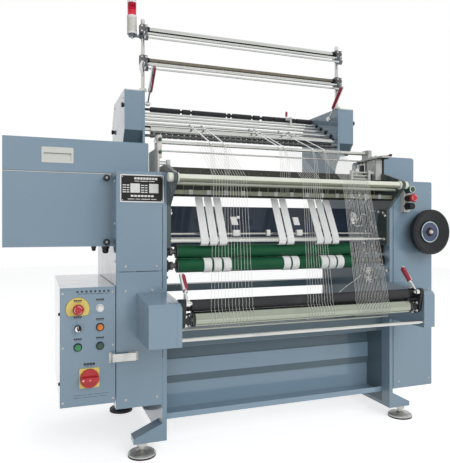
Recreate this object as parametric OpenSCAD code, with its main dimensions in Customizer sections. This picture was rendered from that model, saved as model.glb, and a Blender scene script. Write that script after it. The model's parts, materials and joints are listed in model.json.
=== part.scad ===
// Crochet knitting machine: two side frames joined by beams, a knitting bay between them, cabinets
// outside them, a yarn creel above and a fabric take-off in front. Millimetres, +Z up, front towards -Y.

/* [Bay and side frames] */
// Clear width between the two side frames
bay_w = 917; // [700:1:1200]
// Thickness of a side frame plate
plate_t = 16; // [10:1:24]
// Depth of a side frame, front to back
frame_d = 520; // [420:1:680]
// Height of the deck on top of the cabinets
deck_z = 961; // [900:1:1200]
// Height of the underside of the side frames above the floor
frame_z0 = 45; // [35:1:70]

/* [Feet] */
// Radius of a levelling pad
pad_r = 47; // [30:1:60]
// Thickness of a levelling pad
pad_h = 14; // [8:1:20]
// Radius of a levelling screw
foot_bolt_r = 10; // [6:1:14]
// How far the left feet stand outside the left side frame
left_foot_out = 66; // [52:1:90]
// How far the right feet stand outside the right side frame
right_foot_out = 50; // [50:1:90]
// Thickness of the foot plates
foot_plate_t = 15; // [8:1:20]

/* [Cabinets] */
// Thickness of the sheet steel
sheet_t = 3; // [2:0.5:5]
// Width of the left cabinet
left_cab_w = 156; // [110:1:240]
// Height of the underside of the left cabinet
left_cab_z0 = 171; // [100:1:260]
// Height of the seam between the two left front covers
cover_seam_z = 625; // [560:1:700]
// Width of the right cabinet
right_cab_w = 193; // [150:1:280]
// Height of the underside of the right cabinet
right_cab_z0 = 122; // [90:1:200]
// Length of the pattern box outside the left cabinet
pattern_w = 352; // [260:1:420]
// Depth of the pattern box
pattern_d = 220; // [180:1:240]
// Depth of the pattern box below the deck
pattern_drop = 254; // [180:1:260]
// Height of the hinged hood above the deck
hood_h = 113; // [90:1:130]
// How far the pattern box stands behind the face of the cabinets
pattern_set_back = 106; // [70:1:140]

/* [Control box] */
// Width of the control box
control_w = 175; // [160:1:240]
// How far the back of the control box lies in front of the back of the side frames
control_back = 30; // [20:1:120]
// Height of the control box
control_h = 383; // [370:1:440]
// Height of the underside of the control box
control_z0 = 195; // [120:1:220]
// Radius of a push button's cap
button_r = 9.5; // [8:0.5:10]
// Travel of a push button
button_travel = 4; // [2:0.5:5]

/* [Knitting unit] */
// Radius of the front tube
tube_r = 12; // [8:0.5:18]
// How far the axis of the front tube lies below the deck
tube_drop = 24; // [20:1:40]
// How far the front tube stands in front of the cabinets
tube_out = 80; // [60:1:110]
// Travel of the needle bar
needle_travel = 12; // [6:1:14]
// Travel of the weft bar to each side
weft_travel = 15; // [5:1:20]
// Radius of the green rollers
green_r = 25; // [18:0.5:27]

/* [Take-off] */
// Radius of the chrome take-off roll
take_r = 24; // [18:0.5:27]
// Radius of the black press roll
press_r = 19; // [14:0.5:22]
// Height of the axis of the take-off roll
take_z = 482; // [460:1:520]
// How far the drive covers stand in front of the cabinets
drive_out = 198; // [180:1:230]

/* [Creel and upper feed] */
// Depth of an upper feed box
feed_d = 351; // [280:1:400]
// Width of an upper feed box
feed_w = 74; // [60:1:120]
// Height of the top of the upper feed boxes above the deck
feed_h = 375; // [340:1:420]
// Radius of the satin feed roller
feed_r = 14.5; // [12:0.5:18]
// Radius of a creel post
post_r = 8; // [6:0.5:12]
// Height of a creel post above the feed boxes
post_h = 284; // [260:1:400]
// Thickness of a warp yarn
yarn_d = 1.4; // [0.8:0.1:2]

/* [Handwheel] */
// Radius of the handwheel
wheel_r = 90; // [70:1:110]
// Radius of the handwheel's shaft
wheel_shaft_r = 14; // [10:0.5:18]

/* [Hidden] */
$fn = 48;

// clearances
run = 0.05;            // radial running clearance of a shaft in its bore
gap = 0.3;             // clearance between neighbours that move past each other
eps = 1;               // how far a cutting tool passes the face it cuts

// side frames
half = bay_w / 2;
outer = half + plate_t;
front_y = -20;
back_y = front_y + frame_d;

foot_ys = [0, back_y - 40];
foot_web_h = 60;

// cabinets
left_cab_x = -outer - left_cab_w;
right_cab_x = outer + right_cab_w;
pattern_y = front_y + pattern_set_back;
pattern_x = left_cab_x - pattern_w;
hood_x1 = -outer - 26;
hood_gap = 1;
hood_z0 = deck_z + hood_gap;
hood_z1 = deck_z + hood_h;
hood_y1 = pattern_y + pattern_d;
hood_pin_r = 5;
hood_knuckle_r = 9;
hood_hinge_y = hood_y1 + hood_knuckle_r + gap;
hood_hinge_z = deck_z + hood_gap / 2;
hood_hinge_xs = [pattern_x + 50, left_cab_x - 110];
pattern_z0 = deck_z - pattern_drop;
handle_w = 93;
handle_h = hood_h - 70;
handle_x = pattern_x + 126;
handle_z = (hood_z0 + hood_z1 - handle_h) / 2 - 1;
cover_t = 3;
cover_r = 10;
plate_sheet = 1.5;

// control box
control_gap = 2;
control_x1 = left_cab_x - control_gap;
control_x0 = control_x1 - control_w;
control_y1 = back_y - control_back;
control_z1 = control_z0 + control_h;
box_hinge_r = 8;
box_pin_r = 4;
box_hinge_x = left_cab_x - box_hinge_r - gap;
box_hinge_y = control_y1 + box_hinge_r + gap;
box_hinge_zs = [control_z0 + 60, control_z1 - 120];
panel_t = 3;
panel_y = front_y - panel_t;
button_cols = [control_x0 + 55, control_x0 + 125];
button_rows = [control_z0 + 192, control_z0 + 253, control_z0 + 315];
switch_pos = [control_x0 + 91, control_z0 + 91];
bezel_r = button_r + 3.5;
bezel_h = 3;
stem_r = 8;
stop_pos = [button_cols[0], button_rows[2]];
white_pos = [button_cols[1], button_rows[2]];
knob_pos = [button_cols[0], button_rows[1]];
orange_pos = [button_cols[1], button_rows[1]];
green_pos = [button_cols[0], button_rows[0]];
dark_pos = [button_cols[1], button_rows[0]];
bezel_holes = [white_pos, orange_pos, green_pos, dark_pos];
latch_z = control_z0 + 150;
latch_pivot_x = control_x1 - 8;
latch_pivot_y = panel_y - 9;
latch_reach = 58;
latch_pin_r = 3;
keeper_t = 3;

// right button station and handwheel
station_x = outer + 49;
station_y0 = front_y - 25;
station_zs = [deck_z - 103, deck_z - 71, deck_z - 37];
wheel_x = outer + 137;
wheel_z = deck_z - 206;
wheel_boss_r = 28;

// knitting unit
arm_t = 14;
link_x = half - 41;
link_z1 = deck_z + 91;
work_x1 = half - 112;
green_x1 = half - 153;
rod_post_x = link_x - 5;
tube_y = front_y - tube_out;
tube_z = deck_z - tube_drop;
bed_y = 40;
bed_z = deck_z - 3;
bed_h = 30;
bed_d = 50;
guide_y = 75;
guide_z = deck_z + 118;
guide_r = 7;
needle_y = tube_y + 55;
needle_z = tube_z - 44;
weft_y = tube_y + 95;
weft_z = tube_z - 2;
weft_r = 7;
thick_rod = [0, tube_z - 209, 9.5];
thin_rod = [30, tube_z - 187, 3.5];
beam_y = 250;
beam_d = 60;
beam_h = 103;
beam_z = deck_z - 206;
upper_green = [36, tube_z - 250];
green_angle = 260;
green_step = 2 * green_r + gap;
lower_green = [upper_green[0] + green_step * cos(green_angle),
               upper_green[1] + green_step * sin(green_angle)];
journal_r = 9;

// take-off
take_y = front_y - 160;
press_step = take_r + press_r + gap;
press_angle = 76;
press = [take_y + press_step * cos(press_angle), take_z + press_step * sin(press_angle)];
cover_y = front_y - drive_out;
cover_z0 = take_z - 77;
cover_z1 = take_z + 56;
drive_cover_w = [88, 32];
cover_rise = 15;
bevel = 12;
bearing_w = 34;
guard_rod = [take_y - 28, take_z - 57, 6];
lever_pin_r = 6;
lever_pivot = [take_y - 24, take_z + 54];

// creel and upper feed
feed_y0 = front_y + 378;
feed_y1 = feed_y0 + feed_d;
feed_z1 = deck_z + feed_h;
feed_z0 = feed_z1 - 165;
column_t = 10;
feed_x0 = half + column_t;
feed_journal_r = 6;
feed_roller_pos = [feed_y0 + 22, feed_z1 - 157];
grooved_r = 9;
grooved_pos = [feed_roller_pos[0] - 2, feed_roller_pos[1] - feed_r - grooved_r - gap];
segment_pos = [feed_y0 + 242, feed_z1 - 21];
segment_r = 12;
sleeve_w = [140, 38, 168, 12, 98, 32, 52, 120, 88];
sleeve_gap = [12, 10, 12, 12, 12, 18, 6, 8];
feed_rods = [
    [half, feed_y0 + 196, feed_z1 - 50, 5], [half, feed_y0 + 156, feed_z1 - 72, 5],
    [half, feed_y0 + 110, feed_z1 - 96, 6], [half, feed_y0 + 62, feed_z1 - 123, 6]
];
small_pivot = [feed_y0 + 214, feed_z1 - 22];
small_lever_x = 296;
post_x = half + column_t / 2;
post_y = feed_y0 + 22;
post_z1 = feed_z1 + post_h;
top_arm_z = post_z1 - 26;
mid_arm_z = post_z1 - 152;
upper_lever_pivot = [feed_y0 + 46, feed_z1 - 44];
lamp_x = -post_x - 45;
lamp_z0 = post_z1 - 49;
deck_rods = [[guide_y, guide_z, guide_r], [guide_y + 15, guide_z + 6, 4], [guide_y, guide_z - 31, 3]];
bay_rods = concat([[half, guard_rod[0], guard_rod[1], guard_rod[2]]], feed_rods);

// yarns and fabric: places across the bay, chosen by hand
yarn_off = yarn_d / 2 + 0.5;
yarn_groups = [
    [[-321, -203], [-356, -212], 12],
    [[15, 88], [-8, 90], 8],
    [[180, 293], [184, 320], 12]
];
elastic_r = 2;
elastic_off = elastic_r + 0.5;
elastic_xs = [-250, -196, 31, 55, 179, 230];
strip_w = 29;
strip_xs = [-319, -285, -249, -14, 21, 146, 181, 216];
turn_xs = [-302, -265, -228, 13, 49, 176, 211, 247];

// overall box, used to put the origin at the middle of the footprint
box_x = [pattern_x, outer + 137 + wheel_r];
box_y = [cover_y, feed_y1];

// ---------- shape helpers ----------

// axis-aligned block between two corners
module block(x0, x1, y0, y1, z0, z1) {
    translate([x0, y0, z0]) cube([x1 - x0, y1 - y0, z1 - z0]);
}

// round bar along X
module rod_x(x0, x1, y, z, r) {
    translate([x0, y, z]) rotate([0, 90, 0]) cylinder(h = x1 - x0, r = r);
}

// round bar along Y
module rod_y(y0, y1, x, z, r) {
    translate([x, y0, z]) rotate([-90, 0, 0]) cylinder(h = y1 - y0, r = r);
}

// round bar along Z
module rod_z(z0, z1, x, y, r) {
    translate([x, y, z0]) cylinder(h = z1 - z0, r = r);
}

// round bar between two points
module bar(a, b, r) {
    d = b - a;
    len = norm(d);
    translate(a)
        rotate([0, acos(d[2] / len), atan2(d[1], d[0])])
            cylinder(h = len, r = r);
}

// outline in Y and Z, extruded along X from x0
module plate_yz(x0, t) {
    translate([x0, 0, 0]) rotate([90, 0, 90]) linear_extrude(t) children();
}

// outline in X and Z, extruded along Y from y0
module plate_xz(y0, t) {
    translate([0, y0 + t, 0]) rotate([90, 0, 0]) linear_extrude(t) children();
}

// rectangle with round corners, from corner a to corner b
module round_rect(a, b, r) {
    translate([a[0] + r, a[1]]) square([b[0] - a[0] - 2 * r, b[1] - a[1]]);
    translate([a[0], a[1] + r]) square([b[0] - a[0], b[1] - a[1] - 2 * r]);
    for (x = [a[0] + r, b[0] - r], y = [a[1] + r, b[1] - r])
        translate([x, y]) circle(r);
}

// what is done to the right half, done to both halves
module both_sides() {
    children();
    mirror([1, 0, 0]) children();
}

// everything is drawn about the middle of the bay and moved to the middle of the footprint
module place() {
    translate([-(box_x[0] + box_x[1]) / 2, -(box_y[0] + box_y[1]) / 2, 0]) children();
}

// ---------- frame ----------

// plate with its foot brackets and the arm that carries the take-off, on the right-hand side
module side_frame(foot_out) {
    foot_x = outer + foot_out;
    difference() {
        union() {
            plate_yz(half, plate_t)
                polygon([
                    [front_y, frame_z0], [back_y, frame_z0], [back_y, deck_z], [front_y, deck_z],
                    [front_y, cover_z1 + cover_rise],
                    [cover_y + bevel, cover_z1], [cover_y, cover_z1 - bevel],
                    [cover_y, cover_z0], [front_y, cover_z0]
                ]);
            for (y = foot_ys) foot_bracket(foot_x, y);
        }
        for (y = foot_ys)
            rod_z(frame_z0 - eps, frame_z0 + foot_plate_t + eps, foot_x, y, foot_bolt_r);
        for (p = [upper_green, lower_green]) rod_x(half - eps, outer + eps, p[0], p[1], journal_r + run);
        rod_x(half - eps, outer + eps, weft_y, weft_z, weft_r + 2);
    }
}

// foot plate with a triangular web flush with the frame's front edge, roofed by a sloping plate
module foot_bracket(foot_x, y) {
    x1 = foot_x + foot_bolt_r + 22;
    y0 = y + front_y;
    web = [
        [outer, frame_z0], [x1, frame_z0], [x1, frame_z0 + foot_plate_t + 3],
        [outer, frame_z0 + foot_web_h]
    ];
    roof = [
        [outer, frame_z0 + foot_web_h - 6], [x1, frame_z0 + foot_plate_t - 3],
        [x1, frame_z0 + foot_plate_t + 3], [outer, frame_z0 + foot_web_h]
    ];
    block(outer, x1, y0, y + 36, frame_z0, frame_z0 + foot_plate_t);
    plate_xz(y0, 8) polygon(web);
    plate_xz(y0, y + 36 - y0) polygon(roof);
}

module left_side_frame() {
    color("slategray") place() mirror([1, 0, 0]) side_frame(left_foot_out);
}

module right_side_frame() {
    color("slategray") place() side_frame(right_foot_out);
}

// hollow box beam, open at its ends where it meets the side frames
module box_beam(y0, y1, z0, z1, wall) {
    difference() {
        block(-half, half, y0, y1, z0, z1);
        block(-half - eps, half + eps, y0 + wall, y1 - wall, z0 + wall, z1 - wall);
    }
}

// deep beam with a shallower one welded under it
module cross_beam() {
    color("darkslategray") place() {
        box_beam(beam_y, beam_y + beam_d, beam_z, beam_z + beam_h, 8);
        box_beam(beam_y + 5, beam_y + beam_d - 5, beam_z - 60, beam_z + 4, 6);
    }
}

module front_beam() {
    color("slategray") place() {
        box_beam(front_y + 44, front_y + 84, take_z - 130, take_z - 70, 5);
    }
}

module rear_tie_bar() {
    color("slategray") place() box_beam(back_y - 60, back_y - 10, take_z + 14, take_z + 44, 5);
}

// folded sheet: floor, front lip and back panel of the cloth tray
module tray_panel() {
    y0 = front_y + 50;
    y1 = front_y + 152;
    z0 = frame_z0 + 54;
    z1 = take_z - 130;
    color("slategray") place() {
        plate_yz(-half, bay_w)
            polygon([
                [y0, z0], [y1 + sheet_t, z0], [y1 + sheet_t, z1], [y1 - 68, z1], [y1 - 68, z1 - sheet_t],
                [y1, z1 - sheet_t], [y1, z0 + sheet_t], [y0 + sheet_t, z0 + sheet_t],
                [y0 + sheet_t, z0 + 20], [y0, z0 + 20]
            ]);
        for (z = [z0 + 108, z0 + 157]) block(-half, half, y1 - 6, y1, z, z + 28);
    }
}

// pads, each with its screw and lock nut
module levelling_feet() {
    color("gainsboro") place()
        for (y = foot_ys, x = [-outer - left_foot_out, outer + right_foot_out])
            translate([x, y, 0]) {
                rotate_extrude()
                    polygon([
                        [0, 0], [pad_r, 0], [pad_r, pad_h - 4], [pad_r - 6, pad_h],
                        [foot_bolt_r + 8, pad_h + 3], [foot_bolt_r, pad_h + 8],
                        [foot_bolt_r, frame_z0 + foot_plate_t + 4], [0, frame_z0 + foot_plate_t + 4]
                    ]);
                translate([0, 0, frame_z0 - 12]) cylinder(h = 12, r = foot_bolt_r * 1.8, $fn = 6);
            }
}

// ---------- cabinets ----------

// five-sided sheet box over the outer face of the right side frame, its front face left open
// between the rims where a cover closes it
module cabinet(w, z0, rim) {
    x1 = outer + w;
    difference() {
        plate_xz(front_y, frame_d + 10)
            polygon([
                [outer, z0], [x1, z0], [x1, deck_z - 3], [x1 - 3, deck_z], [outer, deck_z]
            ]);
        block(outer - eps, x1 - sheet_t, front_y + sheet_t, back_y + 10 - sheet_t,
              z0 + sheet_t, deck_z - 3 - sheet_t);
        block(outer + rim, x1 - rim, front_y - eps, front_y + sheet_t + eps, z0 + rim, deck_z - 10 - rim);
    }
}

module left_cabinet() {
    color("slategray") place() {
        mirror([1, 0, 0]) cabinet(left_cab_w, left_cab_z0, 14);
        for (z = box_hinge_zs) {
            rod_z(z, z + 60, box_hinge_x, box_hinge_y, box_pin_r);
            rod_z(z - 24, z, box_hinge_x, box_hinge_y, box_hinge_r);
            block(box_hinge_x, left_cab_x, box_hinge_y - 4, box_hinge_y + 4, z - 24, z);
        }
    }
}

// the two screwed covers of the left cabinet's front, one above the other, with the latch's keeper
module left_covers() {
    x0 = left_cab_x + 1;
    x1 = -outer - 1;
    color("slategray") place() {
        plate_xz(front_y - cover_t, cover_t)
            round_rect([x0, left_cab_z0 + 1], [x1, cover_seam_z - 1], 3);
        plate_xz(front_y - cover_t, cover_t) round_rect([x0, cover_seam_z + 1], [x1, deck_z - 4], cover_r);
        block(latch_pivot_x + latch_reach - 8, latch_pivot_x + latch_reach + 24,
              front_y - cover_t - keeper_t, front_y - cover_t, latch_z - 14, latch_z + 14);
    }
}

// blank plate, with an aluminium rim around it
module name_plate() {
    x0 = left_cab_x + 14;
    x1 = -outer + 3;
    z0 = deck_z - 103;
    color("black") place() difference() {
        plate_xz(front_y - cover_t - plate_sheet, plate_sheet) round_rect([x0, z0], [x1, z0 + 90], 3);
        for (x = [x0 + 32, x1 - 50])
            plate_xz(front_y - cover_t - plate_sheet - eps, eps + 0.4)
                round_rect([x, z0 + 30], [x + 33, z0 + 62], 1);
    }
}

// cabinet with its front cover and the boss that carries the handwheel's shaft
module right_cabinet() {
    color("slategray") place() difference() {
        union() {
            cabinet(right_cab_w, right_cab_z0, 14);
            plate_xz(front_y - cover_t, cover_t)
                round_rect([outer + 1, right_cab_z0 + 1], [right_cab_x - 1, deck_z - 4], 3);
            rod_y(front_y - 26, front_y + 40, wheel_x, wheel_z, wheel_boss_r);
        }
        rod_y(front_y - 26 - eps, front_y + 40 + eps, wheel_x, wheel_z, wheel_shaft_r + run);
    }
}

// narrow box that stands on the right cabinet, set back from its face
module right_upper_box() {
    x0 = outer + 26;
    x1 = right_cab_x - 1;
    color("slategray") place() difference() {
        plate_xz(pattern_y, pattern_d)
            polygon([
                [x0, deck_z], [x1, deck_z], [x1, hood_z1 - 8], [x1 - 8, hood_z1], [x0 + 8, hood_z1],
                [x0, hood_z1 - 8]
            ]);
        block(x0 + sheet_t, x1 - sheet_t, pattern_y + sheet_t, hood_y1 - sheet_t, deck_z - eps,
              hood_z1 - 8 - sheet_t);
    }
}

// open-topped box beside the left cabinet, with the hood's hinge knuckles at its rear edge
module pattern_box() {
    color("slategray") place() {
        difference() {
            block(pattern_x, left_cab_x, pattern_y, hood_y1, pattern_z0, deck_z);
            block(pattern_x + sheet_t, left_cab_x - sheet_t, pattern_y + sheet_t, hood_y1 - sheet_t,
                  pattern_z0 + sheet_t, deck_z + eps);
        }
        for (x = hood_hinge_xs) {
            difference() {
                union() {
                    rod_x(x, x + 30, hood_hinge_y, hood_hinge_z, hood_knuckle_r);
                    block(x, x + 30, hood_y1, hood_hinge_y, hood_hinge_z - hood_knuckle_r, hood_hinge_z);
                }
                rod_x(x - eps, x + 31, hood_hinge_y, hood_hinge_z, hood_pin_r + run);
            }
        }
        for (z = [deck_z - 17, pattern_z0 + 15]) {
            rod_y(pattern_y - 10, pattern_y, left_cab_x - 19, z, 5);
            rod_y(pattern_y - 22, pattern_y - 10, left_cab_x - 19, z, 10);
        }
    }
}

// sheet hood, open below, with two knuckles and pins at its rear lower edge
module pattern_hood() {
    y0 = pattern_y;
    color("slategray") place() {
        difference() {
            plate_xz(y0, pattern_d)
                polygon([
                    [pattern_x, hood_z0], [hood_x1, hood_z0], [hood_x1, hood_z1 - 2], [hood_x1 - 2, hood_z1],
                    [pattern_x + 2, hood_z1], [pattern_x, hood_z1 - 2]
                ]);
            block(pattern_x + sheet_t, hood_x1 - sheet_t, y0 + sheet_t, hood_y1 - sheet_t,
                  hood_z0 - eps, hood_z1 - 2 - sheet_t);
            block(handle_x, handle_x + handle_w, y0 - eps, y0 + sheet_t + eps, handle_z, handle_z + handle_h);
        }
        for (x = hood_hinge_xs) {
            rod_x(x + 30 + gap, x + 60, hood_hinge_y, hood_hinge_z, hood_knuckle_r);
            rod_x(x - 1, x + 31, hood_hinge_y, hood_hinge_z, hood_pin_r);
            block(x + 30 + gap, x + 60, hood_y1, hood_hinge_y, hood_z0, hood_hinge_z + hood_knuckle_r);
        }
    }
}

// recessed pull, set in the hood's front face
module hood_handle() {
    lip = 5;
    deep = 16;
    color("silver") place() difference() {
        union() {
            plate_xz(pattern_y - 2, 2)
                round_rect(
                    [handle_x - lip, handle_z - lip],
                    [handle_x + handle_w + lip, handle_z + handle_h + lip], 4
                );
            block(handle_x, handle_x + handle_w, pattern_y, pattern_y + deep, handle_z, handle_z + handle_h);
        }
        block(handle_x + 2, handle_x + handle_w - 2, pattern_y - 3, pattern_y + deep - 2, handle_z + 2,
              handle_z + handle_h - 14);
        block(handle_x + 2, handle_x + handle_w - 2, pattern_y + 6, pattern_y + deep - 2, handle_z + 2,
              handle_z + handle_h - 2);
    }
}

// covers over the drive at each end of the take-off, open against the frame's arm and the cabinet
module drive_cover(w) {
    x1 = outer + w;
    difference() {
        plate_yz(outer, w)
            polygon([
                [front_y - cover_t, cover_z0], [front_y - cover_t, cover_z1 + cover_rise],
                [cover_y + bevel, cover_z1],
                [cover_y, cover_z1 - bevel], [cover_y, cover_z0]
            ]);
        block(outer - eps, x1 - sheet_t, cover_y + sheet_t, front_y, cover_z0 + sheet_t,
              cover_z1 - bevel - sheet_t);
    }
}

module drive_covers() {
    color("slategray") place() {
        mirror([1, 0, 0]) drive_cover(drive_cover_w[0]);
        drive_cover(drive_cover_w[1]);
    }
}

// motor on its foot, bolted to the left side frame inside the cabinet, with its drive pulley
module main_motor() {
    motor_x = -outer - 84;
    motor_y = front_y + 260;
    motor_z = left_cab_z0 + 150;
    color("dimgray") place() {
        rod_y(motor_y - 90, motor_y + 110, motor_x, motor_z, 58);
        rod_y(motor_y + 110, motor_y + 150, motor_x, motor_z, 50);
        rod_y(motor_y - 130, motor_y - 90, motor_x, motor_z, 10);
        rod_y(motor_y - 128, motor_y - 100, motor_x, motor_z, 34);
        block(-outer - 12, -outer, motor_y - 80, motor_y + 90, motor_z - 70, motor_z + 70);
        for (z = [motor_z - 44, motor_z + 34])
            block(-outer - 50, -outer - 12, motor_y - 70, motor_y + 80, z, z + 10);
    }
}

// ---------- control box ----------

module control_box() {
    color("slategray") place() {
        difference() {
            block(control_x0, control_x1, front_y, control_y1, control_z0, control_z1);
            block(control_x0 + sheet_t, control_x1 - sheet_t, front_y - eps, control_y1 - sheet_t,
                  control_z0 + sheet_t, control_z1 - sheet_t);
        }
        for (z = box_hinge_zs) difference() {
            union() {
                rod_z(z + gap, z + 60 + gap, box_hinge_x, box_hinge_y, box_hinge_r);
                block(box_hinge_x - 30, box_hinge_x, control_y1, control_y1 + 6, z + gap, z + 60 + gap);
            }
            rod_z(z - eps, z + 62, box_hinge_x, box_hinge_y, box_pin_r + run);
        }
        difference() {
            rod_z(control_z0 - 22, control_z0, control_x0 + 60, control_y1 - 80, 14);
            rod_z(control_z0 - 22 - eps, control_z0 + eps, control_x0 + 60, control_y1 - 80, 9);
        }
    }
}

// front plate of the control box, drilled for its switches
module control_panel() {
    color("lightsteelblue") place() {
        difference() {
            plate_xz(panel_y, panel_t)
                round_rect([control_x0 + 1, control_z0 + 1], [control_x1 - 1, control_z1 - 1], 3);
            for (p = concat(bezel_holes, [stop_pos, knob_pos, switch_pos]))
                rod_y(panel_y - eps, front_y + eps, p[0], p[1], stem_r + run);
        }
        for (p = bezel_holes) difference() {
            rod_y(panel_y - bezel_h, panel_y, p[0], p[1], bezel_r);
            rod_y(panel_y - bezel_h - eps, panel_y + eps, p[0], p[1], button_r + gap);
        }
        difference() {
            rod_y(panel_y - 2, panel_y, stop_pos[0], stop_pos[1], 37);
            rod_y(panel_y - 3, panel_y + eps, stop_pos[0], stop_pos[1], stem_r + run);
            block(stop_pos[0] - 40, stop_pos[0] + 40, panel_y - 3, panel_y + eps, stop_pos[1] - 40,
                  stop_pos[1] - 22);
        }
        difference() {
            plate_xz(panel_y - 4, 4)
                translate(switch_pos) round_rect([-31.5, -31.5], [31.5, 31.5], 5);
            rod_y(panel_y - 5, panel_y + eps, switch_pos[0], switch_pos[1], stem_r + run);
        }
        for (z = [latch_z - 18, latch_z + 13 + gap]) difference() {
            block(latch_pivot_x - 6, latch_pivot_x + 6, latch_pivot_y - 6, panel_y, z, z + 5 - gap);
            rod_z(z - eps, z + 5, latch_pivot_x, latch_pivot_y, latch_pin_r + run);
        }
    }
}

// round cap on a stem that slides in the panel
module push_button(pos, face_y, r, proud) {
    rod_y(face_y - proud, face_y - button_travel - gap, pos[0], pos[1], r);
    rod_y(face_y - button_travel - gap, face_y + panel_t + 8, pos[0], pos[1], stem_r);
}

module white_button() {
    color("white") place() push_button(white_pos, panel_y, button_r, 11);
}

module orange_button() {
    color("orange") place() push_button(orange_pos, panel_y, button_r, 11);
}

module green_button() {
    color("green") place() push_button(green_pos, panel_y, button_r, 11);
}

module dark_green_button() {
    color("darkgreen") place() push_button(dark_pos, panel_y, button_r, 11);
}

// mushroom head on a collar, about the axis of a stop button that faces the front
module mushroom(pos, y, r, stem) {
    translate([pos[0], y, pos[1]]) rotate([90, 0, 0]) rotate_extrude()
        polygon([
            [0, -10], [stem_r, -10], [stem_r, stem], [r * 0.6, stem + 7], [r * 0.95, stem + 11],
            [r, stem + 15], [r * 0.9, stem + 20], [r * 0.6, stem + 23], [0, stem + 24]
        ]);
}

module stop_button() {
    color("crimson") place() mushroom(stop_pos, panel_y - 2, 17.5, button_travel + gap + 1);
}

// round knob with a pointer ridge
module speed_knob() {
    x = knob_pos[0];
    z = knob_pos[1];
    color("black") place() {
        rod_y(panel_y - 18, panel_y - gap, x, z, 11);
        rod_y(panel_y - gap, front_y + 8, x, z, stem_r);
        block(x - 2, x + 2, panel_y - 21, panel_y - 17, z - 9, z + 12);
    }
}

// rotary main switch: round disc with a grip bar across it
module main_switch() {
    y1 = panel_y - 4;
    color("red") place() {
        rod_y(y1 - 12, y1 - gap, switch_pos[0], switch_pos[1], 30);
        rod_y(y1 - gap, front_y + 8, switch_pos[0], switch_pos[1], stem_r);
        block(switch_pos[0] - 28, switch_pos[0] + 28, y1 - 30, y1 - 12, switch_pos[1] - 8, switch_pos[1] + 8);
    }
}

// draw latch: lever on the control box that lies across the joint to the cabinet
module toggle_lever() {
    x0 = latch_pivot_x;
    x1 = x0 + latch_reach;
    color("silver") place() {
        rod_z(latch_z - 13, latch_z + 13, x0, latch_pivot_y, 5);
        rod_z(latch_z - 18, latch_z + 18, x0, latch_pivot_y, latch_pin_r);
        block(x0, x1 + 16, latch_pivot_y - 5, latch_pivot_y - 2, latch_z - 13, latch_z + 13);
        block(x1, x1 + 16, latch_pivot_y - 5, front_y - cover_t - keeper_t - gap, latch_z - 13, latch_z + 13);
    }
}

// ---------- right button station ----------

module station_box() {
    color("gainsboro") place() {
        difference() {
            plate_xz(station_y0, front_y - cover_t - station_y0)
                round_rect([station_x - 14, station_zs[0] - 22], [station_x + 14, station_zs[2] + 20], 5);
            for (z = station_zs) rod_y(station_y0 - eps, station_y0 + 16, station_x, z, stem_r + run);
        }
    }
}

module station_start() {
    color("green") place() station_button(station_zs[2]);
}

module station_jog() {
    color("black") place() station_button(station_zs[0]);
}

module station_button(z) {
    rod_y(station_y0 - 34, station_y0 - button_travel - gap, station_x, z, 13);
    rod_y(station_y0 - button_travel - gap, station_y0 + 8, station_x, z, stem_r);
}

module station_stop() {
    color("crimson") place() mushroom([station_x, station_zs[1]], station_y0, 17, 25);
}

// ---------- handwheel ----------

module handwheel() {
    color("black") place() translate([wheel_x, front_y, wheel_z]) rotate([90, 0, 0]) {
        rotate_extrude($fn = 96)
            polygon([
                [wheel_shaft_r, 40], [40, 40], [46, 44], [70, 46], [wheel_r - 6, 40], [wheel_r, 46],
                [wheel_r, 66], [wheel_r - 8, 70], [62, 60], [44, 52], [42, 55], [36, 56], [33, 53],
                [20, 52], [14, 58], [0, 68], [0, -60], [wheel_shaft_r, -60]
            ]);
    }
}

// ---------- knitting unit ----------

module front_tube() {
    color("silver") place() {
        rod_x(-half + arm_t, half - arm_t, tube_y, tube_z, tube_r);
        rod_x(-half + arm_t, half - arm_t, tube_y + 30, tube_z - 17, 5);
    }
}

// cheek plates inside the side frames that carry the front tube, the bed and the bars
module side_arm() {
    x0 = half - arm_t;
    difference() {
        plate_yz(x0, arm_t) {
            polygon([
                [front_y, tube_z - 235], [front_y + 78, tube_z - 235], [front_y + 50, tube_z - 90],
                [bed_y + bed_d + 8, tube_z - 70], [bed_y + bed_d + 8, bed_z + bed_h + 4],
                [bed_y - 30, bed_z + bed_h + 4],
                [tube_y - 10, tube_z + 16], [tube_y - 18, tube_z - 8], [front_y, tube_z - 90]
            ]);
            translate([tube_y, tube_z]) circle(tube_r + 7);
        }
        rod_x(x0 - eps, half + eps, weft_y, weft_z, weft_r + run);
        block(x0 - eps, half - 2, needle_y - 9 - gap, needle_y + 9 + needle_travel + gap, needle_z - 7 - run,
              needle_z + 7 + run);
    }
}

// upright lug on the deck, with an ear that holds the rods of the yarn guide
module rod_lug() {
    difference() {
        union() {
            plate_yz(outer - 6, 6) round_rect([front_y + 70, deck_z], [front_y + 224, deck_z + 96], 10);
            plate_yz(half, plate_t) round_rect([guide_y - 18, deck_z + 60], [guide_y + 28, guide_z + 22], 8);
        }
        for (p = deck_rods) rod_x(half - eps, outer + eps, p[0], p[1], p[2]);
    }
}

module side_arms() {
    color("gray") place() {
        both_sides() side_arm();
        mirror([1, 0, 0]) rod_lug();
    }
}

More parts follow.
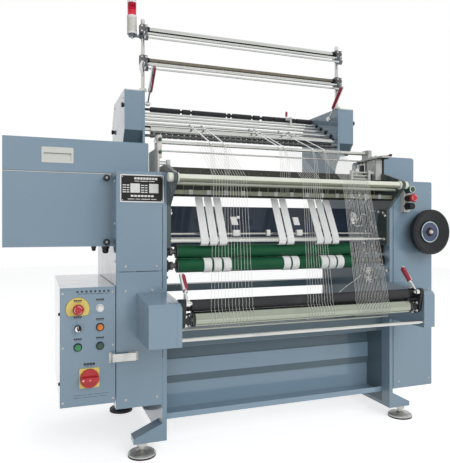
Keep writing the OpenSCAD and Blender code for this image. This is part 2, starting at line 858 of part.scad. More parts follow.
// case of the links over the right end of the rail, with the post for the rods on its lid and the
// push rods that run along the rail between two blocks
module right_link_case() {
    x1 = half - gap;
    arm_top = bed_z + bed_h + 4 + gap;
    push_y = bed_y - 13;
    difference() {
        union() {
            block(link_x, x1, front_y + 35, front_y + 170, arm_top, link_z1);
            for (y = [front_y + 35, bed_y + bed_d + gap])
                block(link_x, half - arm_t - gap, y, y + bed_y - front_y - 35 - gap, deck_z + 5, arm_top);
            block(link_x - 5, x1, front_y - 15, front_y + 160, link_z1, link_z1 + 6);
            plate_yz(rod_post_x, 16)
                round_rect([guide_y - 18, link_z1], [guide_y + 28, guide_z + 14], 6);
        }
        for (p = deck_rods) rod_x(rod_post_x - eps, rod_post_x + 17, p[0], p[1], p[2]);
    }
    for (z = [deck_z + 8, deck_z + 21, deck_z + 34]) rod_x(link_x - 114, link_x - 33, push_y, z, 3.5);
    block(link_x - 33, link_x - 23, push_y - 8, push_y + 8, deck_z + 2, deck_z + 42);
    block(link_x - 23, link_x, push_y - 4, push_y + 4, deck_z + 30, deck_z + 40);
    plate_xz(push_y - 7, 14)
        polygon([
            [link_x - 114, deck_z + 3], [link_x - 105, deck_z + 3], [link_x - 101, deck_z + 42],
            [link_x - 110, deck_z + 42]
        ]);
}

// post on the left end of the rail with two short links to the lug beside it
module left_link() {
    x0 = half - arm_t - 14;
    block(-x0 - 12, -x0, bed_y + 4, bed_y + 20, bed_z + bed_h, bed_z + bed_h + 25);
    for (z = [bed_z + bed_h + 9, bed_z + bed_h + 18]) rod_x(-outer + 6, -x0 - 12, bed_y + 12, z, 2.5);
}

module link_cases() {
    color("gainsboro") place() {
        right_link_case();
        left_link();
    }
}

// olive rail with the knock-over comb that hangs from it
module needle_bed() {
    x1 = half - arm_t;
    comb_y = bed_y + 22;
    comb_pitch = 12;
    comb_count = floor((2 * x1 - 40) / comb_pitch);
    color("darkolivegreen") place() {
        block(-x1, x1, bed_y, bed_y + bed_d, bed_z, bed_z + bed_h);
        block(-x1, x1, comb_y, comb_y + 10, tube_z - 52, bed_z);
        block(-x1, x1, comb_y - 12, comb_y, tube_z - 40, tube_z - 26);
        for (i = [0 : comb_count])
            translate([(i - comb_count / 2) * comb_pitch, 0, 0])
                block(-2, 2, comb_y - 18, comb_y, tube_z - 52, tube_z - 40);
    }
}

// the polished rods between the side frames that the yarns and the cloth run over
module guide_rods() {
    lug_x = small_lever_x + 6 + gap;
    lug_rod = feed_rods[0];
    color("silver") place() {
        for (p = bay_rods) rod_x(-p[0], p[0], p[1], p[2], p[3]);
        for (p = [thick_rod, thin_rod]) {
            rod_x(-half + arm_t, work_x1, p[0], p[1], p[2]);
            rod_x(work_x1, half - arm_t, p[0], p[1], p[2] / 2);
        }
        for (p = deck_rods) rod_x(-outer, rod_post_x + 16, p[0], p[1], p[2]);
        difference() {
            block(lug_x, lug_x + 10, lug_rod[1] - 9, small_pivot[0] + 6, lug_rod[2] - 9, small_pivot[1] + 6);
            rod_x(lug_x - eps, lug_x + 11, small_pivot[0], small_pivot[1], 3 + run);
            rod_x(lug_x - eps, lug_x + 11, lug_rod[1], lug_rod[2], lug_rod[3] + gap);
        }
    }
}

// bar with its row of needles; slides to the rear and back
module needle_bar() {
    x1 = half - 2 - gap;
    pitch = 12;
    count = floor((2 * half - 80) / pitch);
    color("gray") place() {
        block(-x1, x1, needle_y - 9, needle_y + 9, needle_z - 7, needle_z + 7);
        for (i = [0 : count])
            translate([(i - count / 2) * pitch, 0, 0])
                block(-1, 1, needle_y + 9, needle_y + 34, needle_z - 1, needle_z + 1);
    }
}

// bar with its row of weft tubes; slides from side to side
module weft_bar() {
    x1 = outer + weft_travel + 9;
    pitch = 36;
    count = floor((2 * half - 120) / pitch);
    color("dimgray") place() {
        rod_x(-x1, x1, weft_y, weft_z, weft_r);
        for (i = [0 : count])
            translate([(i - count / 2) * pitch, 0, 0]) {
                translate([0, weft_y, weft_z]) block(-6, 6, -weft_r - 3, weft_r + 3, -weft_r - 3, weft_r + 3);
                rod_z(weft_z - 34, weft_z - weft_r, 0, weft_y, 1.6);
            }
    }
}

// ---------- rollers ----------

// roller with a thinner journal at each end
module roller(body, journal, y, z, r, jr) {
    rod_x(-body, body, y, z, r);
    rod_x(-journal, -body, y, z, jr);
    rod_x(body, journal, y, z, jr);
}

// draw roller, covered over the width that is knitted
module green_roller(p) {
    x0 = -half + arm_t + 34;
    rod_x(x0, green_x1, p[0], p[1], green_r);
    rod_x(-outer + 2, x0, p[0], p[1], journal_r);
    rod_x(green_x1, outer - 2, p[0], p[1], journal_r);
}

module upper_green_roller() {
    color("darkgreen") place() green_roller(upper_green);
}

module lower_green_roller() {
    color("darkgreen") place() green_roller(lower_green);
}

module take_off_roll() {
    color("silver") place() roller(half - bearing_w - 6, half - 2, take_y, take_z, take_r, journal_r);
}

module press_roll() {
    color("black") place() roller(half - bearing_w - 6, half - 2, press[0], press[1], press_r, journal_r);
}

// castings on the inner faces of the frame's arms, bored for the rolls and the lever pins
module roll_bearing() {
    x0 = half - 14;
    difference() {
        union() {
            plate_yz(x0, 14) {
                translate([take_y, take_z]) circle(26);
                translate(press) circle(22);
                translate(lever_pivot) circle(13);
                polygon([
                    [take_y - 26, take_z], [take_y + 26, take_z], [press[0] + 22, press[1]],
                    [lever_pivot[0] - 12, lever_pivot[1]]
                ]);
            }
            rod_x(half - bearing_w, x0, take_y, take_z, 20);
            rod_x(half - bearing_w, x0, press[0], press[1], 16);
        }
        rod_x(half - bearing_w - eps, half - 1, take_y, take_z, journal_r + run);
        rod_x(half - bearing_w - eps, half - 1, press[0], press[1], journal_r + run);
        rod_x(x0 - eps, half - 1, lever_pivot[0], lever_pivot[1], lever_pin_r + run);
    }
}

module roll_bearings() {
    color("dimgray") place() both_sides() roll_bearing();
}

// hub, pin and shank with a thick grip, leaning at an angle in the plane across the machine's width
module lever(x0, pin_x1, pivot, angle, length, grip) {
    dir = [0, cos(angle), sin(angle)];
    mid = [x0 - 8, pivot[0], pivot[1]];
    rod_x(x0 - 14, x0 - gap, pivot[0], pivot[1], 10);
    rod_x(x0 - gap, pin_x1, pivot[0], pivot[1], lever_pin_r);
    bar(mid, mid + (length - 5) * dir, 3.5);
    bar(mid + (length - grip) * dir, mid + length * dir, 8.5);
}

module lower_right_lever() {
    color("crimson") place() lever(half - 14, half - 3, lever_pivot, 47, 114, 64);
}

module lower_left_lever() {
    color("crimson") place() mirror([1, 0, 0]) lever(half - 14, half - 3, lever_pivot, 47, 114, 64);
}

module upper_right_lever() {
    color("crimson") place() lever(half - 13, feed_x0 - gap, upper_lever_pivot, 133, 170, 112);
}

module upper_left_lever() {
    color("crimson") place()
        mirror([1, 0, 0]) lever(half - 13, feed_x0 - gap, upper_lever_pivot, 133, 170, 112);
}

// ---------- creel ----------

// upright plates on the deck with a hollowed front edge
module feed_column() {
    difference() {
        plate_yz(half, column_t) difference() {
            polygon([
                [feed_y0, deck_z], [back_y - 20, deck_z], [feed_y1, deck_z + 70], [feed_y1, feed_z1 - 70],
                [feed_y1 - 60, feed_z1], [feed_y0, feed_z1]
            ]);
            translate([feed_y0 - 60, deck_z + 60]) circle(100);
        }
        for (p = [feed_roller_pos, grooved_pos, segment_pos])
            rod_x(half - eps, feed_x0 + eps, p[0], p[1], feed_journal_r + run);
        rod_x(half - eps, feed_x0 + eps, upper_lever_pivot[0], upper_lever_pivot[1], lever_pin_r + run);
    }
}

module feed_columns() {
    color("slategray") place() both_sides() feed_column();
}

// sheet box with sloping corners on the outer face of a column, open towards it
module feed_box() {
    outline = [
        [feed_y0, feed_z0], [feed_y0 + 46, feed_z0 - 50],
        [feed_y1 - 20, feed_z0 - 50], [feed_y1, feed_z0 - 20],
        [feed_y1, feed_z1 - 70], [feed_y1 - 60, feed_z1], [feed_y0, feed_z1]
    ];
    difference() {
        plate_yz(feed_x0, feed_w) polygon(outline);
        plate_yz(feed_x0 - eps, feed_w - sheet_t + eps)
            polygon([
                [feed_y0 + sheet_t, feed_z0 + 1], [feed_y0 + 48, feed_z0 - 50 + sheet_t],
                [feed_y1 - 22, feed_z0 - 50 + sheet_t], [feed_y1 - sheet_t, feed_z0 - 18],
                [feed_y1 - sheet_t, feed_z1 - 72], [feed_y1 - 62, feed_z1 - sheet_t],
                [feed_y0 + sheet_t, feed_z1 - sheet_t]
            ]);
    }
}

module feed_boxes() {
    color("slategray") place() both_sides() feed_box();
}

module feed_roller() {
    color("silver") place()
        roller(half - 26, feed_x0 + 8, feed_roller_pos[0], feed_roller_pos[1], feed_r, feed_journal_r);
}

// shaft with a groove every few centimetres
module grooved_roller() {
    pitch = 26;
    count = floor((2 * half - 80) / pitch);
    color("dimgray") place() difference() {
        roller(half - 26, feed_x0 - gap, grooved_pos[0], grooved_pos[1], grooved_r, feed_journal_r);
        for (i = [0 : count])
            translate([(i - count / 2) * pitch - 3, grooved_pos[0], grooved_pos[1]]) rotate([0, 90, 0])
                difference() {
                    cylinder(h = 6, r = grooved_r + 1);
                    translate([0, 0, -eps]) cylinder(h = 6 + 2 * eps, r = grooved_r - 2);
                }
    }
}

// sum of the first n numbers of a list
function sum_to(list, n) = n == 0 ? 0 : list[n - 1] + sum_to(list, n - 1);

// black sleeves on a shaft, with bare shaft between them
module segmented_roller() {
    start = -half + 72;
    color("black") place() {
        rod_x(-feed_x0 - 8, feed_x0 + 8, segment_pos[0], segment_pos[1], feed_journal_r);
        for (i = [0 : len(sleeve_w) - 1]) {
            x0 = start + sum_to(sleeve_w, i) + sum_to(sleeve_gap, i);
            rod_x(x0, x0 + sleeve_w[i], segment_pos[0], segment_pos[1], segment_r);
        }
    }
}

// short lever clamped on a lug beside the segmented roller
module small_lever() {
    x0 = small_lever_x;
    color("crimson") place() {
        rod_x(x0 - 6, x0 + 6, small_pivot[0], small_pivot[1], 5);
        rod_x(x0 + 6, x0 + 6 + gap + 10, small_pivot[0], small_pivot[1], 3);
        bar([x0, small_pivot[0], small_pivot[1]], [x0, small_pivot[0], small_pivot[1] + 36], 3);
        bar([x0, small_pivot[0], small_pivot[1] + 12], [x0, small_pivot[0], small_pivot[1] + 38], 5);
    }
}

// clamp casting on a post, with an arm to the front that holds three rods
module creel_arm(z) {
    x0 = post_x - 13;
    difference() {
        union() {
            rod_z(z - 26, z + 14, post_x, post_y, post_r + 8);
            plate_yz(x0, 12)
                polygon([
                    [post_y - 14, z + 12], [post_y + 16, z + 12],
                    [post_y + 16, z - 20], [post_y - 20, z - 52],
                    [post_y - 46, z - 60], [post_y - 56, z - 46], [post_y - 40, z - 30]
                ]);
        }
        rod_z(z - 80, z + 40, post_x, post_y, post_r + run);
    }
}

module creel_arms() {
    color("darkgray") place() {
        both_sides() for (z = [top_arm_z, mid_arm_z]) creel_arm(z);
        difference() {
            union() {
                block(lamp_x, -post_x, post_y - 8, post_y + 8, lamp_z0 - 12, lamp_z0 - 4);
                rod_z(lamp_z0 - 14, lamp_z0 - 4, lamp_x, post_y, 14);
                rod_z(lamp_z0 - 16, lamp_z0 - 4, -post_x, post_y, post_r + 6);
            }
            rod_z(lamp_z0 - 16 - eps, lamp_z0 - 4 + eps, -post_x, post_y, post_r + run);
        }
    }
}

// two posts on their collars, and two sets of one thick tube with two thin rods in front and below
module creel_rods() {
    x0 = post_x - post_r - 8;
    x1 = post_x - 13;
    color("silver") place() {
        both_sides() {
            rod_z(feed_z1 + 10, post_z1, post_x, post_y, post_r);
            rod_z(feed_z1, feed_z1 + 10, post_x, post_y, 17);
        }
        for (z = [top_arm_z, mid_arm_z]) {
            rod_x(-x0, x0, post_y, z, z == top_arm_z ? 11 : 8);
            rod_x(-x1, x1, post_y - 26, z - 25, 6);
            rod_x(-x1, x1, post_y - 46, z - 48, 4);
        }
    }
}

module lamp_base() {
    color("gainsboro") place() rod_z(lamp_z0 - 4, lamp_z0 + 70, lamp_x, post_y, 20);
}

// ribbed lens with its cap
module lamp_lens() {
    color("red") place() {
        rod_z(lamp_z0 + 70, lamp_z0 + 127, lamp_x, post_y, 18);
        rod_z(lamp_z0 + 127, lamp_z0 + 141, lamp_x, post_y, 19);
    }
}

// ---------- yarns and fabric ----------

// ring of n points about p, square to the direction t
function ring(p, t, r, n) =
    let (v = cross(t, [1, 0, 0]), w = v / norm(v))
    [for (k = [0 : n - 1]) p + r * (cos(360 * k / n) * [1, 0, 0] + sin(360 * k / n) * w)];

// thread swept along a list of points that never runs along X
module thread(pts, r, n = 6) {
    last = len(pts) - 1;
    rings = [for (i = [0 : last])
        each ring(pts[i], pts[min(i + 1, last)] - pts[max(i - 1, 0)], r, n)];
    sides = [for (i = [0 : last - 1], k = [0 : n - 1])
        [i * n + k, i * n + (k + 1) % n, (i + 1) * n + (k + 1) % n, (i + 1) * n + k]];
    caps = [[for (k = [n - 1 : -1 : 0]) k], [for (k = [0 : n - 1]) last * n + k]];
    polyhedron(points = rings, faces = concat(sides, caps), convexity = 4);
}

// points on a circle in the plane across the width, from angle a0 to a1
function arc_points(c, r, a0, a1, steps) =
    [for (i = [0 : steps]) let (a = a0 + (a1 - a0) * i / steps) [c[0] + r * cos(a), c[1] + r * sin(a)]];

// path of a warp yarn in Y and Z: guide rod, front tube, press roll, take-off roll
function warp_path() = concat(
    arc_points([guide_y, guide_z], guide_r + yarn_off, 90, 200, 4),
    arc_points([tube_y, tube_z], tube_r + yarn_off, 120, 190, 4),
    arc_points(press, press_r + yarn_off, 165, 200, 2),
    arc_points([take_y, take_z], take_r + yarn_off, 148, 262, 6)
);

function blend_x(x0, x1, i, n) = x0 + (x1 - x0) * i / n;

// one group of warp yarns that spreads from its width at the tube to its width at the rolls
module yarn_group(top, bottom, count) {
    path = warp_path();
    for (i = [0 : count - 1]) {
        xa = blend_x(top[0], top[1], i, count - 1);
        xb = blend_x(bottom[0], bottom[1], i, count - 1);
        thread([for (k = [0 : len(path) - 1]) [k < 10 ? xa : xb, path[k][0], path[k][1]]], yarn_d / 2);
    }
}

// path of an elastic yarn in Y and Z: last rod of the feed, guide rod, front of the needle rail
function elastic_path() = concat(
    arc_points([feed_rods[3][1], feed_rods[3][2]], feed_rods[3][3] + elastic_off, 20, 111, 3),
    arc_points([guide_y, guide_z], guide_r + elastic_off, 109, 165, 3),
    [[bed_y - 5, bed_z + bed_h + 4], [bed_y - 4, bed_z - 8], [bed_y + 3, bed_z - 52]]
);

module elastic_yarn(x) {
    path = elastic_path();
    thread([for (k = [0 : len(path) - 1]) [k < 4 ? x : x - 22, path[k][0], path[k][1]]], elastic_r);
}

module yarns() {
    color("white") place() {
        for (g = yarn_groups) yarn_group(g[0], g[1], g[2]);
        for (x = elastic_xs) elastic_yarn(x);
    }
}

// crochet strips: from the comb down over the thick rod, and again around the lower green roller
module fabric_strips() {
    t = 1.4;
    color("white") place() {
        for (x = strip_xs) strip_slope(x, t);
        for (x = turn_xs)
            translate([x - strip_w / 2, 0, 0]) roller_wrap(lower_green, green_r + gap, t, 98, 275);
    }
}

// slanting length of a strip, between the comb and the rod
module strip_slope(x, t) {
    r = thick_rod[2] + gap;
    top = [bed_y + 27, tube_z - 53 - gap];
    lean = 90 + atan2(top[1] - thick_rod[1], top[0] - thick_rod[0] + r);
    low = [thick_rod[0] + r * cos(lean), thick_rod[1] + r * sin(lean)];
    hull() {
        translate([x - strip_w / 2, top[0], top[1]]) cube([strip_w, t, 1]);
        translate([x - strip_w / 2, low[0] - t, low[1]]) cube([strip_w, t, 1]);
    }
    translate([x - strip_w / 2, 0, 0]) roller_wrap(thick_rod, r, t, lean, 300);
}

// part of a ring about an axis along X, from angle a0 to a1 measured from +Y towards +Z
module roller_wrap(c, r, t, a0, a1) {
    translate([0, c[0], c[1]]) rotate([90, 0, 90]) rotate([0, 0, a0])
        rotate_extrude(angle = a1 - a0) translate([r, 0]) square([t, strip_w]);
}

left_side_frame();
right_side_frame();
cross_beam();
front_beam();
rear_tie_bar();
tray_panel();
levelling_feet();
left_cabinet();
left_covers();
name_plate();
drive_covers();
pattern_box();
right_cabinet();
right_upper_box();
feed_columns();
feed_boxes();
link_cases();
creel_arms();
creel_rods();
front_tube();
side_arms();
needle_bed();
guide_rods();
roll_bearings();
lamp_base();
lamp_lens();
station_box();
main_motor();
yarns();
fabric_strips();
pattern_hood();
hood_handle();
control_box();
control_panel();
toggle_lever();
stop_button();
white_button();
orange_button();
green_button();
dark_green_button();
speed_knob();
main_switch();
station_start();
station_stop();
station_jog();
handwheel();
take_off_roll();
press_roll();
upper_green_roller();
lower_green_roller();
feed_roller();
grooved_roller();
segmented_roller();
lower_left_lever();
lower_right_lever();
upper_left_lever();
upper_right_lever();
small_lever();
needle_bar();
weft_bar();
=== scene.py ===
"""Finishes and fine pieces of a crochet knitting machine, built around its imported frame."""

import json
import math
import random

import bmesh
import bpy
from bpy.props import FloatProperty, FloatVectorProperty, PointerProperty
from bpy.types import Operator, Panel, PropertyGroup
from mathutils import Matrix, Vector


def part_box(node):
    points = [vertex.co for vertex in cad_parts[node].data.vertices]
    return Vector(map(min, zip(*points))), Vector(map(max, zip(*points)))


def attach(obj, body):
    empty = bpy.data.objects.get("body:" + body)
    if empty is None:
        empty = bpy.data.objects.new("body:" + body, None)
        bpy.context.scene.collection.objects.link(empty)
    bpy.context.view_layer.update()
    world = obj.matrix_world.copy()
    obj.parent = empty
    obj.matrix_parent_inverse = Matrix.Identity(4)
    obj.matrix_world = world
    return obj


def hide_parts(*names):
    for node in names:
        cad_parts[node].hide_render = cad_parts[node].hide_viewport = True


bl_info = {
    "name": "Crochet knitting machine",
    "version": (1, 0, 0),
    "blender": (4, 5, 0),
    "location": "3D Viewport > Sidebar > Knitting",
    "description": "Builds the finishes and fine pieces of a crochet knitting machine around its frame",
    "category": "Object",
}

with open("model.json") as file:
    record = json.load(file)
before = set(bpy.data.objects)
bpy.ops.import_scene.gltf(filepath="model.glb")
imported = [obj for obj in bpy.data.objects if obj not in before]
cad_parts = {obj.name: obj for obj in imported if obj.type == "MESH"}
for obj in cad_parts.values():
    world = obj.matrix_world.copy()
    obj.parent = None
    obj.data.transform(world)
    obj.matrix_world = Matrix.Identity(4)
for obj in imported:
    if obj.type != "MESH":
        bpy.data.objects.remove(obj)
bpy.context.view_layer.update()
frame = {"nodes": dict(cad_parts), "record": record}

MM = 0.001


# ---------- places, in millimetres from the middle of the bay, in line with the front feet ----------

PAD_RADIUS = 47.0
BAY = Vector(
    (
        (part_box("front_beam")[0][0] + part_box("front_beam")[1][0]) / 2 / MM,
        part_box("levelling_feet")[0][1] / MM + PAD_RADIUS,
        0.0,
    )
)


def low(node):
    """Lowest corner of a CAD node."""
    return Vector(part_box(node)[0]) / MM - BAY


def high(node):
    """Highest corner of a CAD node."""
    return Vector(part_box(node)[1]) / MM - BAY


def middle(node):
    """Middle of a CAD node's box."""
    return (low(node) + high(node)) / 2


def around(at, radius, angle):
    """Point on a circle in a plane."""
    return at[0] + radius * math.cos(angle), at[1] + radius * math.sin(angle)


def rounded(a, b, radius, steps=4):
    """Outline of a rectangle between two corners, with round corners."""
    middles = [(b[0] - radius, b[1] - radius), (a[0] + radius, b[1] - radius)]
    middles += [(a[0] + radius, a[1] + radius), (b[0] - radius, a[1] + radius)]
    corners = [arc(at, radius, 90 * turn, 90 * turn + 90, steps) for turn, at in enumerate(middles)]
    return sum(corners, [])


def circle(at, radius, steps=32, start=0.0, sweep=2 * math.pi):
    """Points on a circle, or on an arc without its last point."""
    return [around(at, radius, start + sweep * k / steps) for k in range(steps)]


def arc(at, radius, start, end, steps):
    """Points on an arc with both of its ends, at angles in degrees."""
    return [around(at, radius, math.radians(start + (end - start) * k / steps)) for k in range(steps + 1)]


def collar_outline(outer, inner, long, chamfer=1.0, start=0.0):
    """Outline of a turned collar with a chamfer round its far end."""
    return [(start, outer), (long - 1, outer), (long, outer - chamfer), (long, inner), (start, inner)]


def crossed(angle, long, half_width):
    """Radius of a cross-shaped recess at an angle."""
    turn = abs((angle + math.pi / 4) % (math.pi / 2) - math.pi / 4)
    if math.tan(turn) <= half_width / long:
        return long / math.cos(turn)
    return half_width / math.sin(turn)


def round_axis(at, axis, steps):
    """A function that gives the point at a distance along an axis and a radius, at a step round it."""
    along = Vector(axis).normalized()
    side = along.orthogonal().normalized()
    up = along.cross(side)

    def point(distance, radius, step):
        angle = 2 * math.pi * step / steps
        return Vector(at) + along * distance + (side * math.cos(angle) + up * math.sin(angle)) * radius

    return point


def lattice(rows, steps):
    """Faces between closed rows of as many points, and the caps at both ends."""
    faces = [
        (r * steps + k, r * steps + (k + 1) % steps, (r + 1) * steps + (k + 1) % steps, (r + 1) * steps + k)
        for r in range(rows - 1)
        for k in range(steps)
    ]
    return faces + [list(range(steps)), list(range((rows - 1) * steps, rows * steps))]


# ---------- mesh building ----------

LEFT, RIGHT = (-1, 0, 0), (1, 0, 0)
FRONT, REAR = (0, -1, 0), (0, 1, 0)
DOWN, UP = (0, 0, -1), (0, 0, 1)
SIDES = (-1, 1)


class Shape:
    """A mesh in the making, in millimetres from the middle of the bay."""

    def __init__(self):
        self.bm = bmesh.new()

    def add(self, points, faces):
        """Adds points and the faces between them."""
        made = [self.bm.verts.new((Vector(p) + BAY) * MM) for p in points]
        for face in faces:
            self.bm.faces.new([made[i] for i in face])
        return self

    def block(self, a, b):
        """Adds a block between two corners."""
        x, y, z = zip(a, b)
        corners = [(x[i], y[j], z[k]) for i in (0, 1) for j in (0, 1) for k in (0, 1)]
        faces = [(0, 1, 3, 2), (4, 6, 7, 5), (0, 4, 5, 1), (2, 3, 7, 6), (0, 2, 6, 4), (1, 5, 7, 3)]
        return self.add(corners, faces)

    def at_depths(self, axis, outlines, a, b):
        """Points of outlines in the two other axes, each at a and then at b along axis."""
        i, j = [n for n in range(3) if n != axis]
        points = []
        for outline in outlines:
            for depth in (a, b):
                for u, v in outline:
                    point = [0.0, 0.0, 0.0]
                    point[axis], point[i], point[j] = depth, u, v
                    points.append(point)
        return points

    def plate(self, axis, outline, a, b):
        """Adds an outline in the two other axes, extruded along axis from a to b."""
        n = len(outline)
        faces = [list(range(n)), list(range(2 * n - 1, n - 1, -1))]
        faces += [(k, (k + 1) % n, n + (k + 1) % n, n + k) for k in range(n)]
        return self.add(self.at_depths(axis, [outline], a, b), faces)

    def framed(self, axis, outer, inner, a, b):
        """Adds the frame between two outlines of as many points, extruded along axis from a to b."""
        n = len(outer)
        rings = [(0, n), (n, 3 * n), (3 * n, 2 * n), (2 * n, 0)]
        faces = [(p + k, p + (k + 1) % n, q + (k + 1) % n, q + k) for p, q in rings for k in range(n)]
        return self.add(self.at_depths(axis, [outer, inner], a, b), faces)

    def screw(self, at, axis, radius):
        """Adds a round screw head with a cross recess."""
        steps, tall = 24, radius * 0.55
        point = round_axis(at, axis, steps)
        rings = [(0, 1.0, 0), (0.5, 0.98, 0), (0.85, 0.8, 0), (1.0, 0.62, 0), (0.98, 0.5, 1), (0.3, 0.42, 1)]
        points = []
        for height, wide, recess in rings:
            for k in range(steps):
                out = crossed(2 * math.pi * k / steps, wide, wide * 0.28) if recess else wide
                points.append(point(height * tall, radius * out, k))
        return self.add(points, lattice(len(rings), steps))

    def nut(self, at, axis, radius, tall, bolt=0.0):
        """Adds a hexagon nut or bolt head, with the round end of a bolt in it."""
        self.turned(at, axis, [(0, radius), (tall * 0.85, radius), (tall, radius * 0.86)], 6)
        if bolt:
            self.turned(at, axis, [(tall * 0.5, bolt), (tall * 1.35, bolt), (tall * 1.5, bolt * 0.7)], 16)
        return self

    def nuts(self, x, at, places, axis, radius, tall, bolt=0.0):
        """Adds nuts at places across the width, each (depth, height) from a point."""
        for y, z in places:
            self.nut((x, at[0] + y, at[1] + z), axis, radius, tall, bolt)
        return self

    def coil(self, a, b, radius, wire, turns):
        """Adds a wire wound round the line between two points."""
        steps, line = 12, Vector(b) - Vector(a)
        point = round_axis(a, line, steps)
        last = turns * steps
        return self.swept([point(line.length * k / last, radius, k) for k in range(last + 1)], wire, 6)

    def turned(self, at, axis, outline, steps=32, loop=False):
        """Adds a turned solid about an axis through at. The outline lists (along, radius)."""
        point = round_axis(at, axis, steps)
        points, rings = [], []
        for distance, radius in outline:
            count = 1 if radius < 1e-6 else steps
            rings.append(list(range(len(points), len(points) + count)))
            points += [point(distance, radius, k) for k in range(count)]
        faces = []
        for a, b in list(zip(rings, rings[1:])) + [(rings[-1], rings[0])] * loop:
            for k in range(steps):
                quad = [a[k % len(a)], a[(k + 1) % len(a)], b[(k + 1) % len(b)], b[k % len(b)]]
                face = [v for n, v in enumerate(quad) if v not in quad[:n]]
                if len(face) > 2:
                    faces.append(face)
        if not loop:
            faces += [ring for ring in (rings[0], rings[-1]) if len(ring) > 1]
        return self.add(points, faces)

    def ring(self, at, axis, outline, steps=32):
        """Adds a turned solid with a hole, whose outline closes on itself."""
        return self.turned(at, axis, outline, steps, True)

    def bar(self, a, b, radius, steps=16):
        """Adds a round bar between two points."""
        line = Vector(b) - Vector(a)
        return self.turned(a, line, [(0, radius), (line.length, radius)], steps)

    def swept(self, path, radius, steps=8):
        """Adds a tube that follows a list of points."""
        path = [Vector(p) for p in path]
        points, last = [], len(path) - 1
        side = (path[1] - path[0]).orthogonal().normalized()
        for i, p in enumerate(path):
            along = (path[min(i + 1, last)] - path[max(i - 1, 0)]).normalized()
            side = (side - along * side.dot(along)).normalized()
            up = along.cross(side)
            for k in range(steps):
                angle = 2 * math.pi * k / steps
                points.append(p + (side * math.cos(angle) + up * math.sin(angle)) * radius)
        return self.add(points, lattice(len(path), steps))

    def made(self, name, finish, bevel=0.0, angle=35, body="machine", slot=None, replaces=None):
        """Makes the piece, in place of a CAD node if one is named, and lets it ride on a body."""
        bmesh.ops.recalc_face_normals(self.bm, faces=self.bm.faces)
        mesh = bpy.data.meshes.new(name)
        self.bm.to_mesh(mesh)
        self.bm.free()
        mesh.materials.append(FINISHES[finish])
        mesh.shade_smooth()
        mesh.set_sharp_from_angle(angle=math.radians(angle))
        piece = bpy.data.objects.new(name, mesh)
        bpy.context.scene.collection.objects.link(piece)
        if bevel:
            round_edges(piece, bevel, angle)
        slot or SLOTS[finish]
        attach(piece, body)
        if replaces:
            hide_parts(replaces)
        return piece


def round_edges(piece, width, angle=35):
    """Rounds a piece's edges, in millimetres."""
    modifier = piece.modifiers.new("edges", "BEVEL")
    modifier.width = width * MM
    modifier.segments = 2
    modifier.limit_method = "ANGLE"
    modifier.angle_limit = math.radians(angle)
    modifier.harden_normals = True


# ---------- finishes ----------


